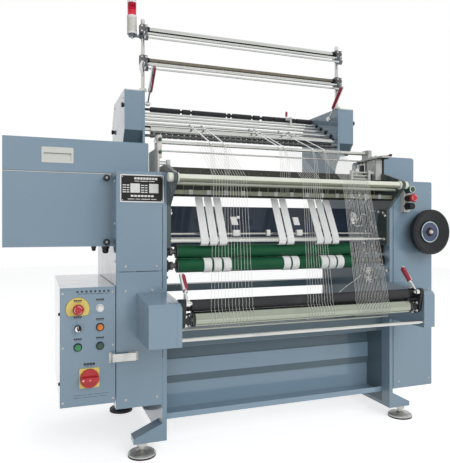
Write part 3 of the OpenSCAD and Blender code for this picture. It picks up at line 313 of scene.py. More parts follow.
class Finish:
    """A node material built up from patterns in the piece's own coordinates."""

    def __init__(self, name, colour, roughness=0.4, metallic=0.0, **sockets):
        self.material = bpy.data.materials.new(name)
        self.material.use_nodes = True
        self.nodes = self.material.node_tree.nodes
        self.links = self.material.node_tree.links
        self.shader = self.nodes["Principled BSDF"]
        self.colour = (*colour, 1.0)
        self.shader.inputs["Base Color"].default_value = self.colour
        self.shader.inputs["Roughness"].default_value = roughness
        self.shader.inputs["Metallic"].default_value = metallic
        for key, value in sockets.items():
            self.shader.inputs[key.replace("_", " ")].default_value = value
        self.normal = None

    def node(self, kind, **values):
        """Adds a node and sets its inputs or its own settings."""
        made = self.nodes.new(kind)
        for key, value in values.items():
            if hasattr(made, key):
                setattr(made, key, value)
            else:
                made.inputs[key.replace("_", " ")].default_value = value
        return made

    def place(self, stretch=(1, 1, 1)):
        """Object coordinates, stretched."""
        source = self.node("ShaderNodeTexCoord").outputs["Object"]
        if stretch == (1, 1, 1):
            return source
        mapping = self.node("ShaderNodeMapping")
        mapping.inputs["Scale"].default_value = stretch
        self.links.new(source, mapping.inputs["Vector"])
        return mapping.outputs["Vector"]

    def pattern(self, kind, output, stretch=(1, 1, 1), **values):
        """A texture in the piece's own coordinates."""
        made = self.node(kind, **values)
        self.links.new(self.place(stretch), made.inputs["Vector"])
        return made.outputs[output]

    def noise(self, scale, detail=3.0, stretch=(1, 1, 1)):
        """Noise pattern of about 1/scale metres."""
        return self.pattern("ShaderNodeTexNoise", "Fac", stretch, Scale=scale, Detail=detail)

    def waves(self, scale, direction="X"):
        """Straight bands across a direction."""
        return self.pattern("ShaderNodeTexWave", "Fac", bands_direction=direction, Scale=scale)

    def cells(self, scale, stretch):
        """Cell pattern: the distance from each cell's middle."""
        return self.pattern("ShaderNodeTexVoronoi", "Distance", stretch, feature="F1", Scale=scale)

    def ranged(self, pattern, a, b, c, d):
        """Maps a pattern from a..b to c..d."""
        made = self.node("ShaderNodeMapRange")
        for name, value in (("From Min", a), ("From Max", b), ("To Min", c), ("To Max", d)):
            made.inputs[name].default_value = value
        self.links.new(pattern, made.inputs["Value"])
        return made.outputs["Result"]

    def tint(self, pattern, colour, a=0.4, b=0.7, amount=1.0):
        """Turns the base colour to another where the pattern is high."""
        mix = self.node("ShaderNodeMix", data_type="RGBA")
        self.links.new(self.ranged(pattern, a, b, 0.0, amount), mix.inputs["Factor"])
        base = self.shader.inputs["Base Color"]
        if base.is_linked:
            self.links.new(base.links[0].from_socket, mix.inputs["A"])
        else:
            mix.inputs["A"].default_value = self.colour
        mix.inputs["B"].default_value = (*colour, 1.0)
        self.links.new(mix.outputs["Result"], base)
        return self

    def rough(self, pattern, least, most):
        """Varies the roughness with a pattern."""
        self.links.new(self.ranged(pattern, 0.3, 0.7, least, most), self.shader.inputs["Roughness"])
        return self

    def bump(self, pattern, depth, strength=1.0):
        """Raises the surface with a pattern, by a depth in millimetres."""
        made = self.node("ShaderNodeBump", Strength=strength, Distance=depth * MM)
        self.links.new(pattern, made.inputs["Height"])
        if self.normal:
            self.links.new(self.normal, made.inputs["Normal"])
        self.normal = made.outputs["Normal"]
        self.links.new(self.normal, self.shader.inputs["Normal"])
        return self


def painted(name, colour, roughness=0.36, coat=1.0):
    """Baked paint on sheet metal: fine orange peel, a clear gloss, and faint dust."""
    f = Finish(name, colour, roughness, Coat_Weight=coat, Coat_Roughness=0.07, Specular_IOR_Level=0.2)
    dust = (0.5, 0.52, 0.54)
    f.tint(f.noise(2.3, 4.0), dust, 0.45, 0.85, 0.10)
    f.tint(f.noise(900.0, 1.0), tuple(c * 0.85 for c in colour), 0.5, 0.8, 0.5)
    f.rough(f.noise(14.0), roughness - 0.05, roughness + 0.08)
    f.bump(f.noise(420.0, 1.5), 0.035, 0.6)
    return f.material


def polished(name, colour, roughness=0.12, turn=(1, 1, 1)):
    """Bright ground metal, with fine marks of grinding stretched along one direction."""
    f = Finish(name, colour, roughness, 1.0)
    f.rough(f.noise(30.0, 4.0, turn), roughness * 0.6, roughness * 1.8)
    f.tint(f.noise(9.0, 5.0), tuple(c * 0.7 for c in colour), 0.5, 0.8, 0.5)
    f.bump(f.noise(1500.0, 2.0, turn), 0.006, 0.7)
    return f.material


def cast(name, colour, roughness=0.5, metallic=0.7):
    """Machined and cast metal with a dull grain."""
    f = Finish(name, colour, roughness, metallic)
    f.tint(f.noise(40.0, 5.0), tuple(c * 0.6 for c in colour), 0.45, 0.75, 0.6)
    f.rough(f.noise(60.0, 4.0), roughness - 0.12, roughness + 0.12)
    f.bump(f.noise(700.0, 3.0), 0.05, 0.5)
    return f.material


def rubber(name, colour, roughness=0.5, depth=0.05):
    """Roller covering with a fine ground surface."""
    f = Finish(name, colour, roughness, Specular_IOR_Level=0.3)
    f.tint(f.noise(18.0, 4.0), tuple(min(1.0, c * 1.6 + 0.01) for c in colour), 0.45, 0.8, 0.5)
    f.rough(f.noise(25.0, 4.0, (0.2, 1, 1)), roughness - 0.08, roughness + 0.1)
    f.bump(f.noise(900.0, 2.0, (1, 0.3, 0.3)), depth, 0.6)
    return f.material


def moulded(name, colour, roughness=0.32, coat=0.3, **sockets):
    """Moulded plastic with a faint grain."""
    f = Finish(name, colour, roughness, Coat_Weight=coat, Coat_Roughness=0.15, **sockets)
    f.tint(f.noise(120.0, 3.0), tuple(c * 0.8 for c in colour), 0.45, 0.8, 0.5)
    f.rough(f.noise(80.0, 3.0), roughness - 0.06, roughness + 0.08)
    f.bump(f.noise(1100.0, 2.0), 0.02, 0.5)
    return f.material


def make_finishes(colours):
    """Every finish of the machine, by its own name."""
    made = {
        "paint": painted("paint_blue_grey", tuple(colours.paint)),
        # painted light: the blue-grey paint made lighter to stand for light falling on the cloth tray
        "paint_light": painted("paint_light", tuple(c * 1.22 for c in colours.paint)),
        # painted shade: the blue-grey paint darkened to stand for shade on the front beam, rear tie bar, bay
        # sides, tray strips and feed box undersides
        "paint_shade": painted("paint_shade", (0.088, 0.135, 0.165), roughness=0.4, coat=0.5),
        "paint_navy": painted("paint_navy", tuple(colours.navy), roughness=0.4, coat=0.5),
        "paint_dark": painted("paint_dark_teal", (0.045, 0.062, 0.062), roughness=0.35, coat=0.6),
        "paint_olive": painted("paint_olive", tuple(colours.olive), roughness=0.5, coat=0.2),
        "hub_blue": painted("hub_blue", (0.012, 0.03, 0.10), roughness=0.3),
        "chrome": polished("chrome", (0.72, 0.73, 0.71), 0.10, (0.05, 1, 1)),
        # take-off roll: chrome darkened and tinted olive to stand for the dark surroundings it reflects, a
        # painted reflection
        "roll": polished("chrome_roll", (0.35, 0.385, 0.315), 0.16, (0.05, 1, 1)),
        "black_iron": cast("black_iron", (0.03, 0.032, 0.035), 0.4, 0.6),
        "latch": polished("latch_chrome", (0.50, 0.50, 0.49), 0.24),
        "bolt": polished("bolt_chrome", (0.66, 0.66, 0.64), 0.2),
        "rod": polished("ground_steel_rod", (0.60, 0.61, 0.58), 0.2, (0.08, 1, 1)),
        "tube": moulded("satin_tube", (0.64, 0.66, 0.57), 0.36, 0.25),
        # dark olive for the undersides of the front tube and a rod: painted shade
        "tube_shade": moulded("tube_underside_painted_shade", (0.22, 0.24, 0.17), 0.4, 0.2),
        "blue_iron": cast("blue_grey_iron", (0.13, 0.15, 0.17), 0.36, 0.7),
        "olive_steel": cast("olive_steel", (0.17, 0.18, 0.13), 0.45, 0.3),
        "brown": cast("brown_tube", (0.19, 0.17, 0.13), 0.35, 0.6),
        "dark_steel": cast("dark_steel", (0.13, 0.13, 0.13), 0.38, 0.8),
        "casting": cast("grey_casting", (0.36, 0.38, 0.38)),
        "pale_casting": cast("pale_casting", (0.46, 0.47, 0.45), 0.45, 0.35),
        "zinc": cast("zinc_plate", (0.55, 0.54, 0.51), 0.36, 0.85),
        "ring": polished("pale_ring", (0.50, 0.62, 0.60), 0.25),
        # pale pink for the handwheel's cone: a painted highlight
        "cone": moulded("cone_painted_highlight", (0.66, 0.54, 0.52), 0.3),
        "aluminium": polished("aluminium", (0.72, 0.72, 0.71), 0.28),
        "black_rubber": rubber("black_rubber", (0.022, 0.023, 0.025)),
        "green_rubber": rubber("green_rubber", tuple(colours.green), 0.5, 0.03),
        "black_plate": moulded("black_plate", (0.010, 0.010, 0.010), 0.34, 0.0, Specular_IOR_Level=0.3),
        "black": moulded("black_plastic", (0.012, 0.013, 0.015), 0.36, 0.0, Specular_IOR_Level=0.3),
        "ink": moulded("black_ink", (0.015, 0.015, 0.018), 0.5, 0.0),
        "print": moulded("white_print", (0.66, 0.66, 0.64), 0.5, 0.0),
        "plate_field": moulded("pale_field", (0.62, 0.63, 0.60), 0.35),
        "yellow": moulded("yellow_field", (0.66, 0.52, 0.15), 0.5, 0.1),
        "olive_edge": moulded("olive_edge", (0.25, 0.22, 0.04), 0.5, 0.1),
        "pink": moulded("pink_dot", (0.62, 0.2, 0.22), 0.4, 0.1),
        "grey_plastic": moulded("grey_plastic", (0.55, 0.54, 0.49), 0.42),
        "white": moulded("white_plastic", (0.70, 0.70, 0.68)),
        "red": moulded("red_plastic", (0.40, 0.008, 0.012)),
        "grip": moulded("lever_grip", (0.24, 0.008, 0.028), 0.4),
        "orange": moulded("orange_plastic", (0.62, 0.16, 0.01)),
        "green": moulded("green_plastic", (0.02, 0.20, 0.06)),
        "dark_green": moulded("dark_green_plastic", (0.008, 0.06, 0.03)),
    }
    lens = Finish("red_lens", (0.75, 0.01, 0.05), 0.15, Transmission_Weight=0.5, IOR=1.45)
    lens.rough(lens.noise(50.0), 0.1, 0.2)
    made["lens"] = lens.material
    clear = Finish("clear_cap", (0.85, 0.85, 0.84), 0.12, Transmission_Weight=0.8, IOR=1.45)
    clear.rough(clear.noise(60.0), 0.08, 0.2)
    made["clear"] = clear.material
    yarn = Finish("yarn", (0.72, 0.72, 0.69), 0.8, Sheen_Weight=0.4)
    yarn.tint(yarn.noise(300.0, 3.0), (0.5, 0.5, 0.46), 0.45, 0.75)
    yarn.bump(yarn.waves(420.0, "DIAGONAL"), 0.15)
    made["yarn"] = yarn.material
    strip = Finish("crochet", (0.80, 0.81, 0.80), 0.85, Sheen_Weight=0.5, Sheen_Roughness=0.4)
    strip.tint(strip.cells(520.0, (1, 0.6, 0.6)), (0.60, 0.62, 0.62), 0.35, 0.8, 0.5)
    strip.tint(strip.noise(30.0, 4.0), (0.66, 0.67, 0.68), 0.45, 0.8, 0.4)
    strip.bump(strip.cells(520.0, (1, 0.6, 0.6)), 0.4, 0.8)
    strip.bump(strip.waves(160.0, "X"), 0.2, 0.5)
    made["strip"] = strip.material
    return made


FINISHES = {}

# finishes that a user changes together, by slot
SLOT_FINISHES = {
    "zinc_plate": "zinc",
    "black_rubber": "black_rubber",
    "grey_plastic": "grey_plastic yellow olive_edge tube tube_shade clear",
    "black_plate": "black_plate ink",
    "black_plastic": "black",
    "blue_grey_paint": "paint paint_light",
    "navy_paint": "hub_blue paint_shade",
    "stainless": "aluminium ring bolt rod brown",
    "white_plastic": "plate_field print white",
    "red_plastic": "red pink grip",
    "orange_plastic": "orange",
    "green_plastic": "green",
    "dark_green_plastic": "dark_green",
    "chrome_roll": "latch cone chrome",
    "cast_grey": "dark_steel black_iron casting pale_casting",
    "yarn": "yarn strip",
    "red_lens": "lens",
}
SLOTS = {finish: slot for slot, finishes in SLOT_FINISHES.items() for finish in finishes.split()}

NODE_FINISH = {
    "paint": (
        "left_side_frame right_side_frame left_cabinet left_covers "
        "right_cabinet right_upper_box pattern_box pattern_hood drive_covers control_box control_panel "
        "feed_columns feed_boxes"
    ),
    # cloth tray panel: lighter paint as painted light
    "paint_light": "tray_panel",
    "paint_navy": "cross_beam",
    # front beam and rear tie bar: darker paint as painted shade
    "paint_shade": "front_beam rear_tie_bar",
    "paint_dark": "side_arms",
    "paint_olive": "needle_bed",
    "zinc": "levelling_feet",
    "black_plate": "name_plate",
    "rod": "guide_rods creel_rods feed_roller hood_handle",
    "tube": "front_tube",
    "blue_iron": "creel_arms",
    "olive_steel": "needle_bar weft_bar",
    "casting": "main_motor",
    "pale_casting": "link_cases",
    "dark_steel": "grooved_roller",
    "black_iron": "roll_bearings",
    "roll": "take_off_roll",
    "chrome": "lower_left_lever lower_right_lever upper_left_lever upper_right_lever small_lever",
    "black_rubber": "press_roll segmented_roller",
    "green_rubber": "upper_green_roller lower_green_roller",
    "grey_plastic": "lamp_base station_box",
    "lens": "lamp_lens",
    "latch": "toggle_lever",
    "red": "stop_button main_switch station_stop",
    "white": "white_button",
    "orange": "orange_button",
    "green": "green_button",
    "dark_green": "dark_green_button station_start",
    "black": "speed_knob station_jog handwheel",
    "yarn": "yarns fabric_strips",
}

# sheet metal: how close points are joined, and how far edges are rounded, in millimetres
JOINED = 0.02
SHEET_EDGE = 0.8
SHEET_METAL = (
    "left_side_frame right_side_frame front_beam rear_tie_bar left_cabinet left_covers right_cabinet "
    "right_upper_box pattern_box pattern_hood drive_covers control_box control_panel feed_columns feed_boxes "
    "cross_beam link_cases station_box"
)


# ---------- what a user may change ----------


class KNIT_PG_colours(PropertyGroup):
    """Main colours of the machine."""

    paint: FloatVectorProperty(
        name="Paint", description="Baked paint of the cabinets", subtype="COLOR",
        default=(0.175, 0.255, 0.325),
    )
    navy: FloatVectorProperty(
        name="Navy paint", description="Paint of the cross beam", subtype="COLOR",
        default=(0.04, 0.06, 0.095),
    )
    olive: FloatVectorProperty(
        name="Olive paint", description="Paint of the needle rail", subtype="COLOR",
        default=(0.026, 0.027, 0.02),
    )
    green: FloatVectorProperty(
        name="Green rubber", description="Covering of the draw rollers", subtype="COLOR",
        default=(0.003, 0.062, 0.024),
    )


class KNIT_PG_stage(PropertyGroup):
    """Camera and light."""

    eye: FloatVectorProperty(
        name="Camera place", description="Where the camera stands", subtype="TRANSLATION", unit="LENGTH",
        default=(-0.737, -1.9875, 0.770),
    )
    turn: FloatProperty(
        name="Camera turn", description="How far the camera is turned to the right", subtype="ANGLE",
        default=math.radians(20.1),
    )
    lens: FloatProperty(
        name="Focal length", description="Focal length in millimetres", default=40.08, min=10.0
    )
    shift: FloatProperty(name="Vertical shift", description="Vertical shift of the lens", default=-0.0071)
    key: FloatProperty(
        name="Key light", description="Power of the large soft light", default=120.0, unit="POWER"
    )
    fill: FloatProperty(name="Surroundings", description="Strength of the even light all round", default=0.38)


# ---------- the stage ----------


class KNIT_OT_stage(Operator):
    """Add the camera, the floor, the lights and the white surroundings."""

    bl_idname = "knit.stage"
    bl_label = "Stage"

    def execute(self, context):
        scene = context.scene
        settings = scene.knit_stage
        scene.view_settings.view_transform = "Standard"
        camera = bpy.data.objects.new("camera", bpy.data.cameras.new("camera"))
        scene.collection.objects.link(camera)
        camera.location = settings.eye
        camera.rotation_euler = (math.radians(90), 0, -settings.turn)
        camera.data.lens = settings.lens
        camera.data.shift_y = settings.shift
        scene.camera = camera
        self.light(scene, "key_light", (1.3, -4.2, 3.0), 3.2, settings.key)
        self.light(scene, "front_light", (-1.6, -4.6, 1.0), 2.6, settings.key * 0.5)
        self.light(scene, "top_light", (0.2, 0.6, 4.2), 3.0, settings.key * 0.3)
        self.surroundings(scene, settings.fill)
        self.floor(scene)
        return {"FINISHED"}

    def light(self, scene, name, at, size, power):
        """Large square lamp that looks at the middle of the machine."""
        lamp = bpy.data.lights.new(name, "AREA")
        lamp.size = size
        lamp.energy = power
        made = bpy.data.objects.new(name, lamp)
        scene.collection.objects.link(made)
        made.location = at
        made.rotation_euler = (Vector((0, 0, 0.8)) - Vector(at)).to_track_quat("-Z", "Y").to_euler()
        made.visible_glossy = False

    def seen(self, tree):
        """1 for what the camera, a mirror or a glass sees directly."""
        path = tree.nodes.new("ShaderNodeLightPath")
        seen = path.outputs["Is Camera Ray"]
        for ray in ("Is Glossy Ray", "Is Transmission Ray"):
            either = tree.nodes.new("ShaderNodeMath")
            either.operation = "MAXIMUM"
            tree.links.new(seen, either.inputs[0])
            tree.links.new(path.outputs[ray], either.inputs[1])
            seen = either.outputs[0]
        return seen

    def surroundings(self, scene, strength):
        """Even light all round, white to the camera and to mirrors."""
        world = bpy.data.worlds.new("surroundings")
        world.use_nodes = True
        scene.world = world
        tree = world.node_tree
        even = tree.nodes["Background"]
        even.inputs["Color"].default_value = (0.97, 0.985, 1.0, 1.0)
        even.inputs["Strength"].default_value = strength
        white = tree.nodes.new("ShaderNodeBackground")
        white.inputs["Color"].default_value = (1.0, 1.0, 1.0, 1.0)
        mix = tree.nodes.new("ShaderNodeMixShader")
        for n, source in enumerate((self.seen(tree), even.outputs[0], white.outputs[0])):
            tree.links.new(source, mix.inputs[n])
        tree.links.new(mix.outputs[0], tree.nodes["World Output"].inputs["Surface"])

    def floor(self, scene):
        """Plain pale floor."""
        mesh = bpy.data.meshes.new("floor")
        bm = bmesh.new()
        bmesh.ops.create_circle(bm, cap_ends=True, segments=96, radius=9.0)
        bm.to_mesh(mesh)
        bm.free()
        floor = bpy.data.objects.new("floor", mesh)
        scene.collection.objects.link(floor)
        floor.location.z = -0.0006
        f = Finish("floor", (0.62, 0.62, 0.62), 0.9)
        glow = f.node("ShaderNodeEmission", Strength=0.66)
        both = f.node("ShaderNodeAddShader")
        mix = f.node("ShaderNodeMixShader")
        for n, source in enumerate((f.shader.outputs[0], glow.outputs[0])):
            f.links.new(source, both.inputs[n])
        for n, source in enumerate((self.seen(f.material.node_tree), f.shader.outputs[0], both.outputs[0])):
            f.links.new(source, mix.inputs[n])
        f.links.new(mix.outputs[0], f.nodes["Material Output"].inputs["Surface"])
        mesh.materials.append(f.material)


# ---------- shared sizes, from the frame ----------

FACE = low("control_box").y
PANEL = COVER = FACE - 3.0
HALF = high("cross_beam").x
OUTER = low("right_cabinet").x
CABINET = low("left_covers").x - 1.0
DECK = high("left_cabinet").z
COVER_SCREW = 4.2
CONTROL_X = low("control_panel").x - 1.0
CONTROL_Z = low("control_panel").z - 1.0


def marks(shape, x, z, face, lengths, tall, space):
    """Adds a row of short flat marks, centred on x, on a face that looks to the front."""
    at = x - (sum(lengths) + space * (len(lengths) - 1)) / 2
    for length in lengths:
        shape.block((at, face - 0.15, z), (at + length, face + 0.1, z + tall))
        at += length + space


# ---------- finishes of the CAD nodes ----------


class KNIT_OT_finishes(Operator):
    """Give every CAD node its finish, and the sheet metal its rounded edges."""

    bl_idname = "knit.finishes"
    bl_label = "Finishes"

    def execute(self, context):
        FINISHES.update(make_finishes(context.scene.knit_colours))
        for finish, nodes in NODE_FINISH.items():
            for node in nodes.split():
                piece = frame["nodes"][node]
                piece.data.materials.clear()
                piece.data.materials.append(FINISHES[finish])
        for node in SHEET_METAL.split():
            piece = frame["nodes"][node]
            weld = piece.modifiers.new("joined", "WELD")
            weld.merge_threshold = JOINED * MM
            round_edges(piece, SHEET_EDGE, 40)
        return {"FINISHED"}


# ---------- cabinets ----------


class KNIT_OT_cabinet_fittings(Operator):
    """Screws, bumpers, painted highlight and shadow at the seams, glands and louvres of the cabinets."""

    bl_idname = "knit.cabinet_fittings"
    bl_label = "Cabinet fittings"

    def execute(self, context):
        self.screws()
        self.bumpers()
        self.seams()
        self.glands()
        self.louvres()
        return {"FINISHED"}

    def screws(self):
        """Screws of the covers, and of the outer sides of the cabinets."""
        front, side = Shape(), Shape()
        for x, z in ((31.5, 643), (136.5, 642), (120.5, 561), (31.5, 200), (136.5, 200), (31.5, 561)):
            front.screw((CABINET + x, COVER, z), FRONT, COVER_SCREW)
        right = high("right_cabinet").x
        for x in (OUTER + 26, right - 16):
            for z in (150, 520, 920):
                front.screw((x, COVER, z), FRONT, COVER_SCREW)
        for y, z in ((28, 929), (26, 786), (23, 659)):
            side.screw((CABINET, FACE + y, z), LEFT, COVER_SCREW)
            side.screw((right, FACE + y, z), RIGHT, COVER_SCREW)
        front.made("cover_screws", "zinc")
        side.made("cabinet_side_screws", "zinc")

    def bumpers(self):
        """Rubber bumpers of the pattern box, each with its screw."""
        rubbers, screws = Shape(), Shape()
        bumper = [(-0.6, 4.6), (-0.6, 9.6), (1.5, 11.2), (8, 11.4), (11, 10.1), (11, 4.6)]
        for z in (DECK - 17, low("pattern_box").z + 15):
            at = (CABINET - 19, low("pattern_box").y, z)
            rubbers.ring(at, REAR, bumper)
            screws.screw(at, FRONT, 4.4)
        rubbers.made("bumper_rubbers", "black_rubber")
        screws.made("bumper_screws", "zinc")

    def seams(self):
        """Painted highlight along the hood seam, and painted shadow strips beside the covers."""
        # pale strips along the seam under the hood: a painted highlight
        seam_highlight = Shape()
        front = FACE + 106
        left = low("pattern_hood").x
        seam_highlight.block((left + 2, front - 0.7, DECK - 2.6), (CABINET - 1, front + 0.6, DECK - 0.4))
        seam_highlight.block((left, front + 2, DECK - 2.6), (left + 0.6, high("pattern_box").y - 24, DECK - 0.4))
        seam_highlight.made("hood_seam_painted_highlight", "grey_plastic")
        # black strips beside the covers: painted shadow
        shadow_strip = Shape()
        for z0, z1 in ((567, 842), (330, 520)):
            shadow_strip.block((-OUTER - 0.9, COVER + 0.2, z0), (-OUTER + 0.6, COVER + 2.6, z1))
        shadow_strip.made("cover_fold_shadow", "black_plate")

    def glands(self):
        """Cable glands under the pattern box."""
        nut, dome = Shape(), Shape()
        top = low("pattern_box").z
        for x, radius in ((CABINET - 20, 14.0), (CABINET - 60, 9.0)):
            at = (x, FACE + 116, top)
            nut.nut(at, DOWN, radius, radius * 0.6)
            outline = [(0.6, 0.82), (1.4, 0.78), (1.75, 0.5), (1.8, 0)]
            dome.turned(at, DOWN, [(radius * out, radius * wide) for out, wide in outline], 24)
        nut.made("gland_nuts", "black", 0.6)
        dome.made("gland_domes", "black")

    def louvres(self):
        """Louvres in the backs of both cabinets."""
        vents, count, pitch = Shape(), 7, 26
        for cabinet, x0, x1, z0 in (("left_cabinet", -600, -504, 300), ("right_cabinet", 504, 640, 260)):
            back = high(cabinet).y
            for z in range(z0, z0 + count * pitch, pitch):
                outline = [(back - 0.5, z), (back - 0.5, z + 15), (back + 2, z + 13), (back + 7, z + 2)]
                vents.plate(0, outline, x0, x1)
        vents.made("rear_louvres", "paint", 0.8)


class KNIT_OT_name_plate(Operator):
    """Aluminium rim, pale fields and rows of marks of the blank name plate."""

    bl_idname = "knit.name_plate_fields"
    bl_label = "Name plate"

    def execute(self, context):
        a, b = low("name_plate"), high("name_plate")
        outer = rounded((a.x - 1.5, a.z - 1.5), (b.x + 1.0, b.z + 1.5), 4)
        inner = rounded((a.x + 2.4, a.z + 2.4), (b.x - 2.6, b.z - 2.4), 2)
        Shape().framed(1, outer, inner, a.y - 0.7, b.y).made("name_plate_rim", "aluminium", 0.3)
        fields = Shape()
        for x in (a.x + 32, b.x - 50):
            fields.plate(1, rounded((x + 0.6, a.z + 30.6), (x + 32.4, a.z + 61.4), 1), a.y + 0.1, a.y + 0.42)
        fields.made("name_plate_fields", "plate_field")
        rows, x = Shape(), (a.x + b.x) / 2
        marks(rows, x + 12, b.z - 15, a.y, (8,) * 8, 7, 2.0)
        marks(rows, x + 8, b.z - 21.5, a.y, (16, 26, 20), 2.0, 3.0)
        for column in (a.x + 18, b.x - 66):
            for z in (54, 46, 38, 31):
                marks(rows, column, a.z + z, a.y, (11, 9), 3.2, 2.2)
        marks(rows, x, a.z + 17, a.y, (9,) * 7, 6, 2.4)
        marks(rows, x, a.z + 8, a.y, (22, 16, 30, 18), 2.2, 3.4)
        rows.made("name_plate_marks", "print")
        pins = Shape()
        for x in (a.x + 6, b.x - 6):
            for z in (a.z + 6, b.z - 6):
                pins.turned((x, a.y, z), FRONT, [(0, 1.8), (0.5, 1.6), (0.9, 0.9), (1.0, 0)], 12)
        pins.made("name_plate_pins", "aluminium")
        return {"FINISHED"}


# ---------- control box ----------

BUTTONS = {
    "stop_button": (55, 315),
    "white_button": (125, 315),
    "speed_knob": (55, 253),
    "orange_button": (125, 253),
    "green_button": (55, 192),
    "dark_green_button": (125, 192),
    "main_switch": (91, 91),
}


def button_place(name):
    """Middle of a switch on the control panel, in its front face."""
    x, z = BUTTONS[name]
    return Vector((CONTROL_X + x, PANEL, CONTROL_Z + z))


class KNIT_OT_control_panel(Operator):
    """Screws, rings, fields and marks on the control panel."""

    bl_idname = "knit.control_panel_fields"
    bl_label = "Control panel"

    def execute(self, context):
        self.screws()
        self.rings()
        self.fields()
        self.print_marks()
        self.box_knobs()
        return {"FINISHED"}

    def screws(self):
        """Screws down both sides of the panel."""
        s = Shape()
        for z in (366, 192, 17):
            for x in (9, 166):
                s.screw((CONTROL_X + x, PANEL, CONTROL_Z + z), FRONT, 3.6)
        s.made("panel_screws", "zinc", body="control_box")

    def rings(self):
        """Rings round the buttons."""
        black, silver = Shape(), Shape()
        ring = [(-0.2, 13.4), (2.6, 13.4), (3.5, 12.4), (3.5, 10.6), (2.6, 10.0), (-0.2, 10.0)]
        for finish in ("orange", "green", "dark_green", "white"):
            shape = silver if finish == "white" else black
            shape.ring(button_place(finish + "_button"), FRONT, ring, 40)
        collar = [(2, 13.5), (4.2, 13.5), (5, 12), (5, 9.6), (2, 9.6)]
        black.ring(button_place("stop_button"), FRONT, collar, 40)
        black.made("button_rings", "black", body="control_box")
        silver.made("white_button_ring", "aluminium", body="control_box")

    def fields(self):
        """Yellow fields behind the stop button and the main switch."""
        yellow, edge = Shape(), Shape()
        at = button_place("stop_button")
        start = math.asin(-22 / 37.0)
        sweep = math.pi - 2 * start
        for shape, radius, depth in ((edge, 37.6, 2.1), (yellow, 36.2, 2.3)):
            turn = circle((at.x, at.z), radius, 60, start, sweep * 60 / 59)
            turn = [(u, max(v, at.z - 22 + (radius < 37) * 0.9)) for u, v in turn]
            hole = circle((at.x, at.z), 9.2, 60, start - (2 * math.pi - sweep) / 2)
            shape.framed(1, turn, hole, PANEL - depth, PANEL + 0.2)
        at = button_place("main_switch")
        a, b = (at.x - 31.8, at.z - 31.8), (at.x + 31.8, at.z + 31.8)
        yellow.framed(1, rounded(a, b, 5.2, 7), circle((at.x, at.z), 9.2, 32, 0), PANEL - 4.15, PANEL + 0.4)
        yellow.made("yellow_fields", "yellow", body="control_box")
        edge.made("yellow_field_edge", "olive_edge", body="control_box")

    def print_marks(self):
        """Rows of marks on the panel, and the scale of the speed knob."""
        s = Shape()
        names = {
            "stop_button": 27, "white_button": 28, "speed_knob": 36, "orange_button": 26.5,
            "green_button": 26, "dark_green_button": 26.5, "main_switch": 44,
        }
        for name, above in names.items():
            at = button_place(name)
            size = 8.0 if name == "main_switch" else 5.4
            face = PANEL - 2.3 if name == "stop_button" else PANEL
            marks(s, at.x, at.z + above - size / 2, face, (size,) * 4, size, 1.2)
            marks(s, at.x, at.z + above - size / 2 - 3.2, face, (6, 4, 8), 1.2, 1.4)
        for k in range(8):
            s.turned((CONTROL_X + 54 + 14 * k, PANEL, CONTROL_Z + 370), FRONT, [(-0.1, 3.6), (0.2, 3.6)], 20)
        for x, z, lengths, tall, space in (
            (103, 362, (14, 22, 9, 30, 12), 1.4, 2.5),
            (96, 36, (40, 18, 44), 1.0, 4.0),
            (92, 28, (24, 50, 20), 1.0, 4.0),
        ):
            marks(s, CONTROL_X + x, CONTROL_Z + z, PANEL, lengths, tall, space)
        knob = button_place("speed_knob")
        for angle in range(225, -46, -27):
            out = Vector((math.cos(math.radians(angle)), 0, math.sin(math.radians(angle))))
            s.bar(knob + out * 18.2, knob + out * 21.5, 0.5, 6)
        s.made("panel_marks", "ink", body="control_box")

    def box_knobs(self):
        """Knobs, cable gland and rear vents of the control box."""
        s = Shape()
        left = low("control_box").x
        for z in (493, 269):
            s.turned((left, FACE + 15, z), LEFT, [(-0.2, 5.5), (3, 5.5), (4, 4.6), (4.6, 3), (4.6, 0)], 24)
        s.made("control_box_knobs", "black", body="control_box")
        gland = Shape().nut((CONTROL_X + 60, FACE + 410, CONTROL_Z - 1), DOWN, 19, 9)
        gland.made("control_box_gland", "black", 0.8, body="control_box")
        vents, back = Shape(), FACE + 489.5
        for k in range(6):
            z = CONTROL_Z + 230 + 18 * k
            outline = [(back, z), (back, z + 11), (back + 2.5, z + 9), (back + 5.5, z + 2)]
            vents.plate(0, outline, CONTROL_X + 40, CONTROL_X + 110)
        vents.made("control_box_vents", "paint", 0.5, body="control_box")


def cap(name, at, radius, proud, finish, slot=None):
    """Push button with a rounded rim and a slightly hollow face, in place of a CAD node."""
    rim, dish = radius * 0.12, 0.5
    outline = [(-10, 8.0), (4.0, 8.0), (4.3, radius)]
    outline += [(proud - rim, radius), (proud - rim * 0.3, radius - rim * 0.3), (proud, radius - rim)]
    outline += [(proud - 0.1, radius - rim * 1.6), (proud - dish * 0.7, radius * 0.5), (proud - dish, 0)]
    Shape().turned(at, FRONT, outline, 40).made(name + "_cap", finish, body=name, slot=slot, replaces=name)


def mushroom(name, at, radius, stem):
    """Stop button with a broad rounded head, in place of a CAD node."""
    head = [(6.5, 0.6), (9.2, 0.86), (11.0, 0.96), (12.7, 0.995), (14.7, 1), (17.1, 0.975)]
    head += [(19.3, 0.91), (21.1, 0.8), (22.5, 0.62), (23.4, 0.36), (23.7, 0)]
    outline = [(-10, 8.0), (stem, 8.0)] + [(stem + out, radius * wide) for out, wide in head]
    Shape().turned(at, FRONT, outline, 48).made(name + "_head", "red", 0, 50, body=name, replaces=name)
    arcs = Shape()
    for start in (20, 140, 260):
        line = arc((at[0], at[2]), radius * 0.66, start, start + 80, 8)
        arcs.swept([(x, at[1] - stem - 21.9, z) for x, z in line], radius * 0.045, 6)
    arcs.made(name + "_arrows", "print", body=name)


